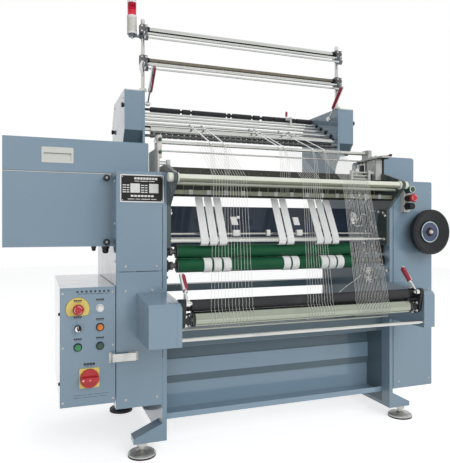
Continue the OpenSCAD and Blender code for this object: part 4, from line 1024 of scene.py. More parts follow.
class KNIT_OT_buttons(Operator):
    """Caps of the buttons, the speed knob and the main switch."""

    bl_idname = "knit.buttons"
    bl_label = "Buttons"

    def execute(self, context):
        for finish in ("white", "orange", "green", "dark_green"):
            name = finish + "_button"
            cap(name, button_place(name), 9.5, 11, finish)
        mushroom("stop_button", button_place("stop_button") + Vector((0, -2, 0)), 17.5, 5.3)
        self.knob()
        self.switch()
        return {"FINISHED"}

    def knob(self):
        """Ribbed knob with a bright inlay and a white line."""
        at = button_place("speed_knob")
        steps, ribs = 72, (11.0, 11.0, 10.3, 10.3)
        outline = [around((at.x, at.z), ribs[k % 4], 2 * math.pi * k / steps) for k in range(steps)]
        s = Shape().plate(1, outline, at.y - 15, at.y - 0.3)
        s.turned(at, FRONT, [(15, 10.2), (16.5, 10), (17.6, 9.2), (18, 8), (18, 0)], 36)
        s.turned(at, REAR, [(0.3, 8), (11, 8)], 24)
        s.plate(1, rounded((at.x - 1.8, at.z - 8), (at.x + 1.8, at.z + 11.5), 1.2), at.y - 21, at.y - 17)
        s.made("speed_knob_body", "black", 0.3, body="speed_knob", replaces="speed_knob")
        turn = circle((at.x, at.z), 9.4, 24, math.radians(85), math.radians(225))
        turn += circle((at.x + 3.2, at.z + 1.6), 7.6, 24, math.radians(285), math.radians(-185))
        inlay = Shape().plate(1, turn, at.y - 18.6, at.y - 17.4)
        inlay.made("speed_knob_inlay", "aluminium", body="speed_knob")
        line = Shape().block((at.x - 0.5, at.y - 21.3, at.z), (at.x + 0.5, at.y - 20.8, at.z + 11))
        line.made("speed_knob_line", "print", body="speed_knob")

    def switch(self):
        """Round base, grip, arrow and dot of the main switch."""
        at = button_place("main_switch") + Vector((0, -4, 0))
        outline = [(-15, 8), (0.3, 8), (0.3, 30), (9.5, 30), (11.4, 29.2), (12, 27.6), (12, 0)]
        s = Shape().turned(at, FRONT, outline, 64)
        s.plate(1, rounded((at.x - 28, at.z - 8), (at.x + 28, at.z + 8), 5), at.y - 30, at.y - 11.5)
        s.made("main_switch_grip", "red", 1.2, body="main_switch", replaces="main_switch")
        outline = [(at.x - 26, at.z), (at.x - 19, at.z - 3.6), (at.x - 19, at.z + 3.6)]
        arrow = Shape().plate(1, outline, at.y - 30.2, at.y - 29.8)
        arrow.made("main_switch_mark", "print", body="main_switch")
        dot = Shape().turned(at, FRONT, [(29.8, 3.4), (30.3, 3.2), (30.5, 2.2), (30.5, 0)], 20)
        dot.made("main_switch_dot", "pink", body="main_switch")


class KNIT_OT_latch(Operator):
    """Draw latch across the joint between the control box and the cabinet."""

    bl_idname = "knit.latch"
    bl_label = "Latch"

    def execute(self, context):
        a, b = low("toggle_lever"), high("toggle_lever")
        z = (a.z + b.z) / 2
        y = a.y
        x0 = a.x + 5
        lever = Shape()
        steps, grip = 12, 28
        xs = [x0 + grip + grip * k / steps for k in range(steps + 1)]
        ridges = [(x, y - 0.9 * (k % 2)) for k, x in enumerate(xs)]
        lever.plate(2, ridges + [(x, y + 2.6) for x in xs[::-1]], z - 10, z + 10)
        lever.turned((x0, y + 4, z - 13.4), UP, [(0, 5), (26.8, 5)], 20)
        lever.made("latch_lever", "latch", 0.3, body="latch")
        body = Shape()
        body.plate(1, rounded((x0 + 4, z - 12.8), (b.x - 16, z + 12.8), 2), y + 0.6, y + 3.4)
        body.plate(1, rounded((b.x - 15.8, z - 12.8), (b.x + 0.2, z + 12.8), 2), y + 0.6, y + 5.2)
        body.made("latch_body", "black", 0.4, body="latch")
        base = Shape().plate(1, rounded((x0 - 13, z - 17), (x0 + 7, z + 17), 3), PANEL - 1.6, PANEL + 0.2)
        base.made("latch_base", "zinc", 0.4, body="control_box")
        screws = Shape()
        for side in SIDES:
            screws.screw((x0 - 9, PANEL - 1.4, z + side * 11), FRONT, 3.0)
        screws.made("latch_screws", "zinc", body="control_box")
        outline = rounded((b.x - 24, z - 14.6), (b.x + 8.4, z + 14.6), 2.5)
        Shape().plate(1, outline, COVER - 3.3, COVER).made("latch_keeper", "grey_plastic", 0.5)
        return {"FINISHED"}


class KNIT_OT_handwheel(Operator):
    """Pale ring, hub and cone of the handwheel, the cone's pale pink being a painted highlight."""

    bl_idname = "knit.handwheel_fittings"
    bl_label = "Handwheel"

    def execute(self, context):
        a, b = low("handwheel"), high("handwheel")
        at = ((a.x + b.x) / 2, FACE, (a.z + b.z) / 2)
        for name, finish, steps, outline in (
            ("ring", "ring", 72, [(52.0, 42.6), (56.8, 42.2), (57.6, 40.6), (56.8, 38.4), (53, 38)]),
            ("hub", "hub_blue", 60, [(50, 38.4), (56.4, 38.2), (56.9, 36), (55.2, 30), (53.6, 13), (50, 12)]),
        ):
            Shape().ring(at, FRONT, outline, steps).made("handwheel_" + name, finish, body="handwheel")
        # the cone's pale pink colour is a painted highlight
        outline = [(50, 12.6), (54.2, 12.4), (58.2, 11), (62, 8.6), (66, 7.2), (68.2, 5.4), (68.8, 0)]
        Shape().turned(at, FRONT, outline, 40).made("handwheel_cone_painted_highlight", "cone", body="handwheel")
        nut = Shape()
        for x, z in circle((at[0], at[2]), 26, 3, math.pi / 2):
            nut.nut((x, FACE - 54.6, z), FRONT, 3.0, 2.0)
        nut.made("handwheel_bolts", "dark_steel", body="handwheel", slot="stainless")
        outline = [(68.6, 84.4), (70.6, 83), (70.9, 81.6), (69.8, 80.4), (67, 79.6)]
        Shape().ring(at, FRONT, outline, 96).made("handwheel_rim_line", "black", body="handwheel")
        return {"FINISHED"}


# ---------- levers and rollers ----------


def pivot(joint):
    """A point on a joint's axis."""
    row = next(j for j in frame["record"]["behaviour"]["joints"] if j["name"] == joint)
    return Vector(row["pos_m"]) / MM - BAY


class KNIT_OT_levers(Operator):
    """Crimson grips, ferrules and pivot bolts of the hand levers."""

    bl_idname = "knit.lever_grips"
    bl_label = "Levers"

    def execute(self, context):
        for name, angle, long, grip, radius in (
            ("lower_left_lever", 47, 114, 64, 9.4),
            ("lower_right_lever", 47, 114, 64, 9.4),
            ("upper_left_lever", 133, 170, 112, 8.7),
            ("upper_right_lever", 133, 170, 112, 8.7),
            ("small_lever", 90, 38, 26, 5.6),
        ):
            at = pivot(name + "_swing")
            at.x = high(name).x - 6 if "left" in name else low(name).x + 6
            way = Vector((0, math.cos(math.radians(angle)), math.sin(math.radians(angle))))
            full = grip + 2.5
            outline = [(0, 0.55), (1.0, 0.82), (3.5, 0.96), (full * 0.3, 1.0), (full * 0.7, 1.03)]
            outline += [(full - radius, 1.0), (full - radius * 0.5, 0.88), (full - radius * 0.15, 0.6)]
            outline += [(full, 0.25), (full + 0.1, 0)]
            outline = [(out, radius * wide) for out, wide in outline]
            s = Shape().turned(at + way * (long - grip - 1.0), way, outline, 32)
            s.made(name + "_grip", "grip", 0, 50, body=name)
            ferrule = [(0, radius * 0.46), (2, radius * 0.62), (7.5, radius * 0.62)]
            f = Shape().turned(at + way * (long - grip - 8), way, ferrule, 24)
            if radius > 6:
                inward = RIGHT if "left" in name else LEFT
                hub = Vector(at)
                hub.x = high(name).x if "left" in name else low(name).x
                f.nut(hub, inward, 6.0, 3.6, 3.0)
            f.made(name + "_ferrule", "chrome", body=name)
        return {"FINISHED"}


class KNIT_OT_take_off_ends(Operator):
    """Bolts, collars and adjusting screws at the ends of the take-off rolls."""

    bl_idname = "knit.take_off_ends"
    bl_label = "Take-off ends"

    def execute(self, context):
        roll, press = pivot("take_off_turn"), pivot("press_roll_turn")
        bright, dark = Shape(), Shape()
        for side in SIDES:
            face, inward = side * (HALF - 14), (-side, 0, 0)
            places = ((-17, 13), (19, 9), (21, -9), (-16, -15), (4, -22.5))
            bright.nuts(face, roll.yz, places, inward, 6.4, 5.0, 3.4)
            bright.nuts(face, press.yz, ((13, 14), (-15, 8), (15, -8)), inward, 5.8, 4.6, 3.0)
            for at, radius in ((roll, 21.5), (press, 17.2)):
                outline = [(-6, radius - 1.2), (-5, radius), (0.0, radius)]
                outline += [(1.2, radius - 1), (1.2, 12), (-6, 12)]
                dark.ring((side * (HALF - 34), at.y, at.z), inward, outline, 40)
            for y, z in circle((0, 0), 1, 4, math.pi / 4):
                spot = (side * (HALF - 28.5), roll.y + 21.0 * y, roll.z + 21.0 * z)
                bright.turned(spot, (0, y, z), [(-1, 2.6), (0.9, 2.6), (1.6, 1.8), (1.6, 0)], 12)
            x, y, z = side * (HALF - 22), press.y + 2, press.z + 22
            bright.coil((x, y, z), (x, y - 2, z + 17), 4.6, 0.9, 6)
            bright.bar((x, y, z - 8), (x, y - 2, z + 21), 2.2)
            bright.nut((x, y - 2, z + 19), UP, 6.6, 5)
            dark.block((side * (HALF - 13.8), y - 6, z - 10), (side * (HALF - 28), y + 6, z - 1))
        bright.made("take_off_bolts", "bolt", slot="chrome_roll")
        dark.made("take_off_collars", "black_iron", 0.4)
        ends, outline = Shape(), [(-1, 20), (0, 23.4), (0.6, 24.15), (8.6, 24.15), (9, 20)]
        for side in SIDES:
            ends.ring((side * (HALF - 40), roll.y, roll.z), (-side, 0, 0), outline, 48)
        ends.made("take_off_roll_collars", "black_iron", body="take_off_roll")
        return {"FINISHED"}


class KNIT_OT_roller_ends(Operator):
    """Rings on the rollers, and the bolts of the arms that carry them."""

    bl_idname = "knit.roller_ends"
    bl_label = "Roller ends"

    def execute(self, context):
        for name in ("upper_green_roller", "lower_green_roller"):
            at = pivot(name.replace("_roller", "_turn"))
            s, journal, housing = Shape(), Shape(), Shape()
            for side, end in ((-1, HALF - 48), (1, HALF - 153)):
                outward, inward = (side, 0, 0), (-side, 0, 0)
                outline = [(-0.6, 24.4), (0.4, 24.9), (2.6, 24.6), (3.4, 23.4)]
                outline += [(3.8, 15), (3.8, 9.4), (-0.6, 9.4)]
                s.ring((side * end, at.y, at.z), outward, outline, 48)
                journal.turned((side * (end + 4), at.y, at.z), outward, [(0, 9.3), (HALF - end - 5, 9.3)], 32)
                outline = [(0, 13.5), (1, 15), (11, 15), (12, 14), (12, 9.6), (0, 9.6)]
                journal.ring((side * (end + 16), at.y, at.z), outward, outline, 32)
                outline = [(0, 19), (2, 21.5), (13, 21.5), (15, 19), (15, 10.2), (0, 10.2)]
                housing.ring((side * (HALF - 0.4), at.y, at.z), inward, outline, 36)
            s.made(name + "_caps", "dark_steel", body=name)
            journal.made(name + "_sleeves", "dark_steel", body=name)
            housing.made(name + "_housings", "black_iron", 0.5)
        bolts = Shape()
        at = (FACE + 20, 0)
        on_arms = ((20, 905), (0, 833), (-12, 822), (30, 838), (46, 775), (-8, 727), (6, 727))
        on_frames = ((-8, 600), (-8, 440), (430, 600), (430, 300), (200, 150), (120, 560))
        for side in SIDES:
            bolts.nuts(side * (HALF - 14), at, on_arms, (-side, 0, 0), 6.2, 5.0, 3.0)
            bolts.nuts(side * HALF, at, on_frames, (-side, 0, 0), 6.5, 5.0, 3.6)
        bolts.made("arm_bolts", "bolt")
        return {"FINISHED"}


# ---------- yarns ----------

# groups of warp yarns: ends across the width at the top and at the bottom, number and looseness
YARNS = (
    ((-321, -203), (-356, -212), 13, 0.7),
    ((15, 88), (-8, 90), 10, 0.8),
    ((180, 293), (184, 320), 22, 1.4),
)
TAPES = (-250, -196, 31, 55, 179, 230)


def rod_places():
    """Middles, across the width, of the guide rod, the front tube and the last rod of the feed."""
    tube = Vector((FACE - 80, DECK - 24))
    return Vector((FACE + 95, DECK + 118)), tube, Vector((FACE + 440, DECK + 252))


def yarn_line():
    """Paths of a warp yarn over the guide rod and the tube, and round the press and take-off rolls."""
    guide, tube, _ = rod_places()
    roll, press = pivot("take_off_turn"), pivot("press_roll_turn")
    upper = arc(guide, 7.9, 90, 200, 6) + arc(tube, 12.9, 120, 190, 5)
    return upper, arc(press.yz, 19.9, 165, 200, 3) + arc(roll.yz, 24.9, 148, 262, 9)


class KNIT_OT_yarns(Operator):
    """Warp yarns with their tangles, and the elastic tapes, in place of the CAD yarns."""

    bl_idname = "knit.yarns"
    bl_label = "Yarns"

    def execute(self, context):
        chance = random.Random(7)
        threads = Shape()
        for (a0, a1), (b0, b1), count, loose in YARNS:
            for k in range(count):
                part = k / (count - 1)
                self.warp(threads, chance, a0 + (a1 - a0) * part, b0 + (b1 - b0) * part, loose)
        threads.made("warp_yarns", "yarn", 0, 80, replaces="yarns")
        self.tapes()
        self.tangles(chance)
        return {"FINISHED"}

    def warp(self, threads, chance, top, bottom, loose):
        """One yarn, which wanders a little, and sags between the tube and the rolls."""
        upper, lower = yarn_line()
        wander, steps = 0.8, 9
        path = [(top + chance.uniform(-wander, wander), y, z) for y, z in upper]
        (y0, z0), (y1, z1) = upper[-1], lower[0]
        for part in [step / steps for step in range(1, steps)]:
            x = top + (bottom - top) * part + chance.uniform(-loose, loose)
            bow = -chance.uniform(0, loose) * math.sin(math.pi * part)
            path.append((x, y0 + (y1 - y0) * part + bow, z0 + (z1 - z0) * part))
        path += [(bottom + chance.uniform(-wander, wander), y, z) for y, z in lower]
        threads.swept(path, 0.55, 5)

    def tapes(self):
        """Elastic tapes over the feed rods, whose threads run down to the needles."""
        guide, _, last = rod_places()
        tape, thread = Shape(), Shape()
        for x in TAPES:
            over = arc(last, 8.3, 20, 111, 5)
            under = arc(guide, 9.2, 109, 165, 5)
            line = [(x, *p) for p in over] + [(x - 22, *p) for p in under]
            self.ribbon(tape, line, 3.1, 0.4)
            for side in SIDES:
                tape.swept([(p[0] + side * 3.1, p[1], p[2]) for p in line], 0.8, 6)
            for k, side in enumerate((-2.4, 0.4, 3.0)):
                way = [(x - 22 + side, *under[-1]), (x - 23 + side * 2.2, FACE + 66 - k, DECK + 75)]
                for spread, y, z in ((2.8, 55, 31), (2.6, 56, -11), (2.0, 63, -55)):
                    way.append((x - 24 + side * spread, FACE + y, DECK + z))
                thread.swept(way, 0.6, 5)
        tape.made("elastic_tapes", "strip", 0, 60)
        thread.made("elastic_threads", "yarn", 0, 80)

    def ribbon(self, shape, line, half, thick):
        """Flat band along a line that never runs along the width."""
        points, last = [], len(line) - 1
        for k, p in enumerate(line):
            way = Vector(line[min(k + 1, last)]) - Vector(line[max(k - 1, 0)])
            out = Vector((0, way.z, -way.y)).normalized()
            for u, v in ((-half, -thick), (half, -thick), (half, thick), (-half, thick)):
                points.append(Vector(p) + Vector((u, 0, 0)) + out * v)
        shape.add(points, lattice(len(line), 4))

    def tangles(self, chance):
        """Knots and crossings in the right-hand group, and a stray end to its left."""
        s = Shape()
        _, tube, _ = rod_places()
        press = pivot("press_roll_turn")
        for k in range(34):
            z = chance.uniform(560, 900)
            part = (tube.y - z) / (tube.y - press.z)
            y = tube.x - 14.5 + (press.y - 19 - tube.x + 13) * part
            x = chance.uniform(196, 290) + 8 * part
            if k < 12:
                wide = chance.uniform(8, 26)
                path = []
                for t in range(5):
                    path.append((x + wide * t / 4, y + chance.uniform(-3, 0.5), z + chance.uniform(-5, 5)))
                s.swept(path, 0.65, 5)
            elif k < 26:
                way = (chance.uniform(-0.4, 0.4), 0, 1)
                long, fat = chance.uniform(3.5, 8), chance.uniform(1.1, 1.9)
                knot = [(0, 0.5), (long * 0.25, fat), (long * 0.7, fat * 0.9), (long, 0.5)]
                s.turned((x, y, z), way, knot, 8)
            else:
                path = [(x, y - 1, z)]
                for t in range(6):
                    x, _, z = path[-1]
                    x += chance.uniform(-7, 9)
                    path.append((x, y - 1 + chance.uniform(-3, 1), z + chance.uniform(-9, 7)))
                s.swept(path, 0.6, 5)
        def stepped(at, x, y, z):
            """A point by chance near another."""
            return Vector(at) + Vector([chance.uniform(*reach) for reach in (x, y, z)])

        for x, y, z, count, wide in ((214, 30, 815, 26, 12), (268, 48, 620, 16, 9), (262, 55, 590, 14, 10)):
            for k in range(count):
                path = [stepped((x, tube.x - y, z), (-wide, wide), (-2, 2), (-wide, wide))]
                for t in range(5):
                    path.append(stepped(path[-1], (-5, 5), (-2, 2), (-6, 4)))
                s.swept(path, 0.8, 5)
        stray = [(232, 50, 600), (200, 54, 580), (168, 52, 561), (140, 57, 545), (118, 55, 528)]
        stray = [(x, tube.x - y, z) for x, y, z in stray]
        s.swept(stray, 0.75, 5)
        for spot in stray[2:]:
            s.turned(spot, (1, 0, 0.4), [(-3, 0.6), (-1, 1.7), (2, 1.5), (4, 0.5)], 8)
        s.made("yarn_tangles", "yarn", 0, 80)


class KNIT_OT_strips(Operator):
    """Crochet strips over the rod and round the lower green roller, in place of the CAD strips."""

    bl_idname = "knit.strips"
    bl_label = "Crochet strips"

    def execute(self, context):
        width, thick = 29.0, 1.2
        rod_radius, roller_radius = 9.8, 25.3
        rod = (FACE + 20, DECK - 233)
        top = (FACE + 87, DECK - 77.5)
        radius = rod_radius + thick / 2
        lean = 90 + math.degrees(math.atan2(top[1] - rod[1], top[0] - rod[0] + radius))
        slope = [top] + arc(rod, radius, lean, 196, 6)
        slope += [(rod[0] + y, rod[1] - z) for y, z in ((-8.6, 13), (-1, 18.5), (10, 18.8))]
        roller = pivot("lower_green_turn")
        wrap = arc(roller.yz, roller_radius + thick / 2, 99, 274, 48)
        xs = (-319, -285, -249, -14, 21, 146, 181, 216)
        turns = (-302, -265, -228, 13, 49, 176, 211, 247)
        for k, (x, turn) in enumerate(zip(xs, turns)):
            piece = self.strip("strip_%d" % (k + 1), x, slope, width, thick)
            flat = (width * MM, self.long(slope) * MM)
            band = self.strip("strip_turn_%d" % (k + 1), turn, wrap, width, thick)
            flat = (width * MM, self.long(wrap) * MM)
            if k == 0:
                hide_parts("fabric_strips")
        return {"FINISHED"}

    def long(self, line):
        """Length of a line of points."""
        return sum((Vector(a) - Vector(b)).length for a, b in zip(line, line[1:]))

    def strip(self, name, x, line, width, thick):
        """Knitted band with chain ridges lengthwise and its edges looped."""
        row = 2.2
        places, out = [], []
        for a, b in zip(line, line[1:]):
            a, b = Vector(a), Vector(b)
            count = max(1, round((b - a).length / row))
            places += [a + (b - a) * k / count for k in range(count)]
        places.append(Vector(line[-1]))
        last = len(places) - 1
        for k in range(last + 1):
            way = places[min(k + 1, last)] - places[max(k - 1, 0)]
            out.append(Vector((-way.y, way.x)).normalized())
        columns = 14
        points = []
        for k, p in enumerate(places):
            for layer in (1, -1):
                for j in range(columns + 1):
                    raised = 0.0
                    if layer > 0 and 0 < j < columns:
                        raised = (0.34 if j % 2 else -0.1) + 0.16 * ((k + j // 2) % 2)
                    edge = 0.5 * (k % 2) * ((j == 0) - (j == columns))
                    at = p - out[k] * (layer * thick / 2 + raised)
                    points.append((x - width / 2 + width * j / columns + edge, at.x, at.y))
        n = columns + 1
        faces = []
        for k in range(last):
            a, b = k * 2 * n, (k + 1) * 2 * n
            for j in range(columns):
                faces.append((a + j, a + j + 1, b + j + 1, b + j))
                faces.append((a + n + j, b + n + j, b + n + j + 1, a + n + j + 1))
            faces += [(a, b, b + n, a + n), (a + columns, a + n + columns, b + n + columns, b + columns)]
        for a in (0, last * 2 * n):
            faces += [(a + j, a + n + j, a + n + j + 1, a + j + 1) for j in range(columns)]
        return Shape().add(points, faces).made(name, "strip", 0, 75)


class KNIT_OT_needle_unit(Operator):
    """Clips on the thin rod, screws of the rail, clamp blocks on the needle bar, collars and end plugs of the
    front tube, nuts of the guide rod, and painted shade under the tube.
    """

    bl_idname = "knit.needle_unit"
    bl_label = "Needle unit"

    def execute(self, context):
        clips = Shape()
        rod_y, rod_z = FACE + 50, DECK - 211
        for x, wide in ((-186, 26), (75, 25), (-56, 14)):
            outline = rounded((rod_y - 7, rod_z - 9), (rod_y + 6, rod_z + 14), 3)
            clips.plate(0, outline, x - wide / 2, x + wide / 2)
        for x in (-196, 59):
            tilt = [(x - 17, 812), (x + 7, 812), (x + 17, 782), (x - 8, 782)]
            clips.plate(1, tilt, rod_y - 9, rod_y - 6.6)
        for x, z in ((-180, 810), (312, 804), (316, 792)):
            clips.plate(1, rounded((x - 6, z - 5), (x + 6, z + 5), 2), rod_y - 9, rod_y - 5)
        clips.made("yarn_clips", "white", 1.0)
        screws = Shape()
        for x in range(-400, 401, 80):
            for shift, radius in ((0, 4.0), (30, 3.0)):
                screws.screw((x + shift, FACE + 60, DECK + 12), FRONT, radius)
        screws.made("rail_screws", "dark_steel", slot="zinc_plate")
        blocks, ends, pitch = Shape(), Shape(), 64
        guide, tube, _ = rod_places()
        for x in range(-6 * pitch, 7 * pitch, pitch):
            blocks.block((x - 7, tube.x + 44, DECK - 76), (x + 7, tube.x + 46.2, DECK - 60))
        blocks.made("needle_bar_clamps", "casting", 0.5, body="needle_bar")
        collar = [(0, 17), (3, 17), (5, 15.5), (5, 12.2), (0, 12.2)]
        plug = [(-2, 15), (15, 15), (17, 13.5), (17.5, 9), (17.5, 0)]
        for side in SIDES:
            ends.ring((side * (HALF - 15), *tube), (-side, 0, 0), collar, 36)
            ends.turned((side * HALF, *tube), (side, 0, 0), plug, 36)
        ends.made("tube_collars", "tube")
        nuts = Shape()
        for x, way in ((-OUTER, -1), (HALF - 30, 1)):
            nuts.nut((x, guide.x, guide.y), (way, 0, 0), 9, 6)
            nuts.nut((x, guide.x + 15, guide.y + 6), (way, 0, 0), 6, 5)
        nuts.made("guide_rod_nuts", "rod")
        # dark crescents under the front tube and the rod below it: painted shade
        shade, under = Shape(), (tube.x + 30, tube.y - 17)
        for at, outer, inner, steps in ((tube, 12.3, 11.2, 14), (under, 5.25, 4.4, 10)):
            moon = arc(at, outer, 196, 344, steps) + arc(at, inner, 344, 196, steps)
            shade.plate(0, moon, 16 - HALF, HALF - 16)
        shade.made("tube_underside_painted_shade", "tube_shade")
        return {"FINISHED"}


class KNIT_OT_link_mechanism(Operator):
    """Links, screws and the toothed bars of the case over the right end of the rail."""

    bl_idname = "knit.link_mechanism"
    bl_label = "Link mechanism"

    def execute(self, context):
        x0, top = HALF - 41, DECK + 97
        pale, dark, steel = Shape(), Shape(), Shape()
        front = FACE + 35
        pale.plate(1, rounded((x0 + 2, DECK + 30), (x0 + 28, top - 8), 3), front - 1.6, front + 0.4)
        dark.plate(1, rounded((x0 + 30, DECK + 6), (HALF - 1, top - 7), 1.5), front - 1.2, front + 0.4)
        dark.block((x0 - 5.5, FACE + 5.5, top - 8.4), (HALF, FACE + 160, top - 6.2))
        pale.plate(0, rounded((front + 4, DECK + 38), (front + 58, top - 10), 3), x0 - 1.4, x0 + 0.4)
        dark.plate(0, rounded((front + 62, DECK + 34), (front + 132, top - 9), 2), x0 - 1.0, x0 + 0.4)
        for k in range(6):
            y = front + 68 + 10.5 * k
            steel.block((x0 - 2.6, y, DECK + 44), (x0 - 0.6, y + 5, top - 16))
        for y in (front + 12, front + 50):
            for z in (DECK + 46, top - 18):
                steel.screw((x0 - 1.4, y, z), LEFT, 3.2)
        for z in (DECK + 38, top - 16):
            steel.screw((x0 + 15, front - 1.6, z), FRONT, 3.0)
        steel.turned((x0 + 10, FACE + 46, top), UP, [(0, 6), (3, 6), (4, 4.5), (9, 4.5), (9, 0)], 24)
        steel.block((x0 + 6, FACE + 46, top + 5), (x0 + 14, FACE + 76, top + 8))
        grip = (x0 + 34, FACE - 10, top + 4.5)
        steel.bar((x0 + 10, FACE + 50, top + 4.5), grip, 2.4)
        dark.turned(grip, (0.37, -0.93, 0), [(-3, 3.6), (4, 4.2), (9, 4.0), (10, 2.8), (10, 0)], 20)
        for z in (DECK + 8, DECK + 21, DECK + 34):
            for x in (x0 - 100, x0 - 41):
                steel.ring((x, FACE + 47, z), RIGHT, collar_outline(5, 3.55, 8, 0.6), 20)
        pale.block((x0 - 34, FACE + 38, DECK + 1), (x0 - 22, FACE + 56, DECK + 43))
        dark.block((x0 - 48, FACE + 66, DECK + 26), (x0 - 34, FACE + 78, DECK + 66))
        steel.block((x0 - 66, FACE + 68, DECK + 26), (x0 - 56, FACE + 76, DECK + 52))
        pale.made("link_covers", "pale_casting", 0.5)
        dark.made("link_shadow_plates", "black_plate", 0.4)
        steel.made("link_rods", "rod")
        return {"FINISHED"}


# ---------- creel, lamp, upper feed, station and bay ----------


class KNIT_OT_creel(Operator):
    """Clamps, knobs and end discs of the creel, the painted shadow under its top tube, and the sleeve of its
    middle tube.
    """

    bl_idname = "knit.creel"
    bl_label = "Creel"

    def execute(self, context):
        dark, pale, bolts, black = Shape(), Shape(), Shape(), Shape()
        y, post = FACE + 400, HALF + 5
        for side in SIDES:
            x = side * post
            for z, radius in ((DECK + 633, 11), (DECK + 507, 8)):
                dark.block((x - 15, y - 25, z - 24), (x + 15, y - 14, z + 12))
                dark.ring((x, y, z + 13), UP, collar_outline(12.5, 8.1, 5, 1.5), 28)
                for u in (-9, 9):
                    for w in (-16, 4):
                        bolts.nut((x + u, y - 25, z + w), FRONT, 4.6, 4.0, 2.4)
                ring = collar_outline(radius + 2, radius + 0.1, 10)
                black.ring((side * (post - 17), y, z), (-side, 0, 0), ring, 32)
                for v, w, r in ((-26, -25, 10), (-46, -48, 7)):
                    disc = [(0, r), (2.5, r), (3.5, r - 1.2), (3.5, 3.2), (0, 3.0)]
                    at = (side * (post - 1.2), y + v, z + w)
                    pale.ring(at, (side, 0, 0), disc, 28)
                    bolts.nut(at, (side, 0, 0), 2.9, 2.6)
            dome = [(-2, 8.6), (3, 9.4), (9, 9.6), (13, 8), (15, 4.5), (15.4, 0)]
            pale.turned((x, y, DECK + 659), UP, dome, 28)
        moon = [(6, 495), (18, 489), (25, 475), (26, 459), (20, 445)]
        moon += [(8, 439), (12, 451), (14, 467), (12, 483)]
        pale.plate(1, [(-HALF - u, DECK + w) for u, w in moon], y - 30, y - 26)
        dark.made("creel_clamps", "dark_steel", 0.6)
        pale.made("creel_caps", "aluminium", slot="cast_grey")
        bolts.made("creel_bolts", "bolt")
        black.made("creel_collars", "black")
        # black half-shell under the top tube: painted shadow
        shade, at = Shape(), (y, DECK + 633)
        shade.plate(0, arc(at, 11.3, 212, 322, 12) + arc(at, 10.4, 322, 212, 12), 26 - post, post - 26)
        shade.made("top_tube_painted_shadow", "black_plate")
        sleeve = Shape().bar((27 - post, y, DECK + 507), (post - 27, y, DECK + 507), 8.35, 32)
        sleeve.made("middle_tube_sleeve", "brown")
        return {"FINISHED"}


class KNIT_OT_lamp(Operator):
    """Rings, ribbed lens and clear cap of the signal lamp."""

    bl_idname = "knit.lamp"
    bl_label = "Lamp"

    def execute(self, context):
        at = middle("lamp_lens")
        at.z = low("lamp_lens").z
        outline = [(0, 17.8), (22, 18)]
        for k in range(9):
            outline += [(23.5 + 2.9 * k, 16.6), (24.9 + 2.9 * k, 18)]
        body = Shape().turned(at, UP, outline + [(50, 17.5), (53, 17.4), (53, 0)], 40)
        body.made("lamp_lens_body", "lens", 0, 20, replaces="lamp_lens")
        dome = [(0, 18), (1, 19), (12, 19), (15.5, 17), (17.4, 12), (18, 0)]
        Shape().turned(at + Vector((0, 0, 53)), UP, dome, 40).made("lamp_cap", "clear")
        upper = [(-1, 18), (-1, 20.6), (9.5, 20.6), (10.5, 20.1), (10.5, 18)]
        lower = [(66, 19.5), (66, 20.7), (73, 20.7), (74, 20), (74, 19.5)]
        Shape().ring(at, DOWN, upper, 40).ring(at, DOWN, lower, 40).made("lamp_rings", "white")
        nuts = Shape()
        nuts.nut((at.x, at.y, at.z - 84), DOWN, 8, 6, 4)
        nuts.nut(((at.x - HALF - 5) / 2, at.y - 8, at.z - 78), FRONT, 3.4, 2.6, 1.8)
        nuts.made("lamp_bracket_bolts", "bolt")
        return {"FINISHED"}


class KNIT_OT_upper_feed(Operator):
    """Knobs, screws and painted shade on the undersides of the upper feed boxes, and the fittings of the feed
    rods.
    """

    bl_idname = "knit.upper_feed"
    bl_label = "Upper feed"

    def execute(self, context):
        front, top = FACE + 378, DECK + 375
        shade, rim, knobs, screws, black = Shape(), Shape(), Shape(), Shape(), Shape()
        slope = [(-0.5, 165), (45.7, 215.6), (46.6, 214.6), (0.5, 164)]
        for side in SIDES:
            a, b, out = side * (HALF + 10.5), side * (HALF + 83.6), side * (HALF + 84)
            # darker plate on the sloping underside: painted shade
            shade.plate(0, [(front + v, top - w) for v, w in slope], a, b)
            rim.block((a, front - 0.5, top - 3.5), (b, front + 0.6, top + 0.3))
            for v, w in ((24, 190), (330, 100), (24, 32), (270, 24)):
                screws.screw((out, front + v, top - w), (side, 0, 0), 4.0)
            for v, w in ((12, 64), (300, 126)):
                knob = [(-0.5, 7), (2, 7), (3, 10), (9, 10.5), (11, 9), (11.6, 5), (11.6, 0)]
                knobs.turned((out, front + v, top - w), (side, 0, 0), knob, 24)
            for v, w, r in ((196, 50, 5), (156, 72, 5), (110, 96, 6), (62, 123, 6)):
                at = (side * HALF, front + v, top - w)
                black.ring(at, (-side, 0, 0), collar_outline(r + 4, r + 0.2, 9), 24)
        black.bar((-HALF, FACE + 420, DECK + 235), (HALF, FACE + 420, DECK + 235), 5)
        shade.made("feed_box_painted_shade", "paint_shade")
        rim.made("feed_box_rims", "plate_field", slot="grey_plastic")
        knobs.made("feed_box_knobs", "black")
        screws.made("feed_box_screws", "zinc")
        black.made("feed_rod_collars", "black")
        return {"FINISHED"}


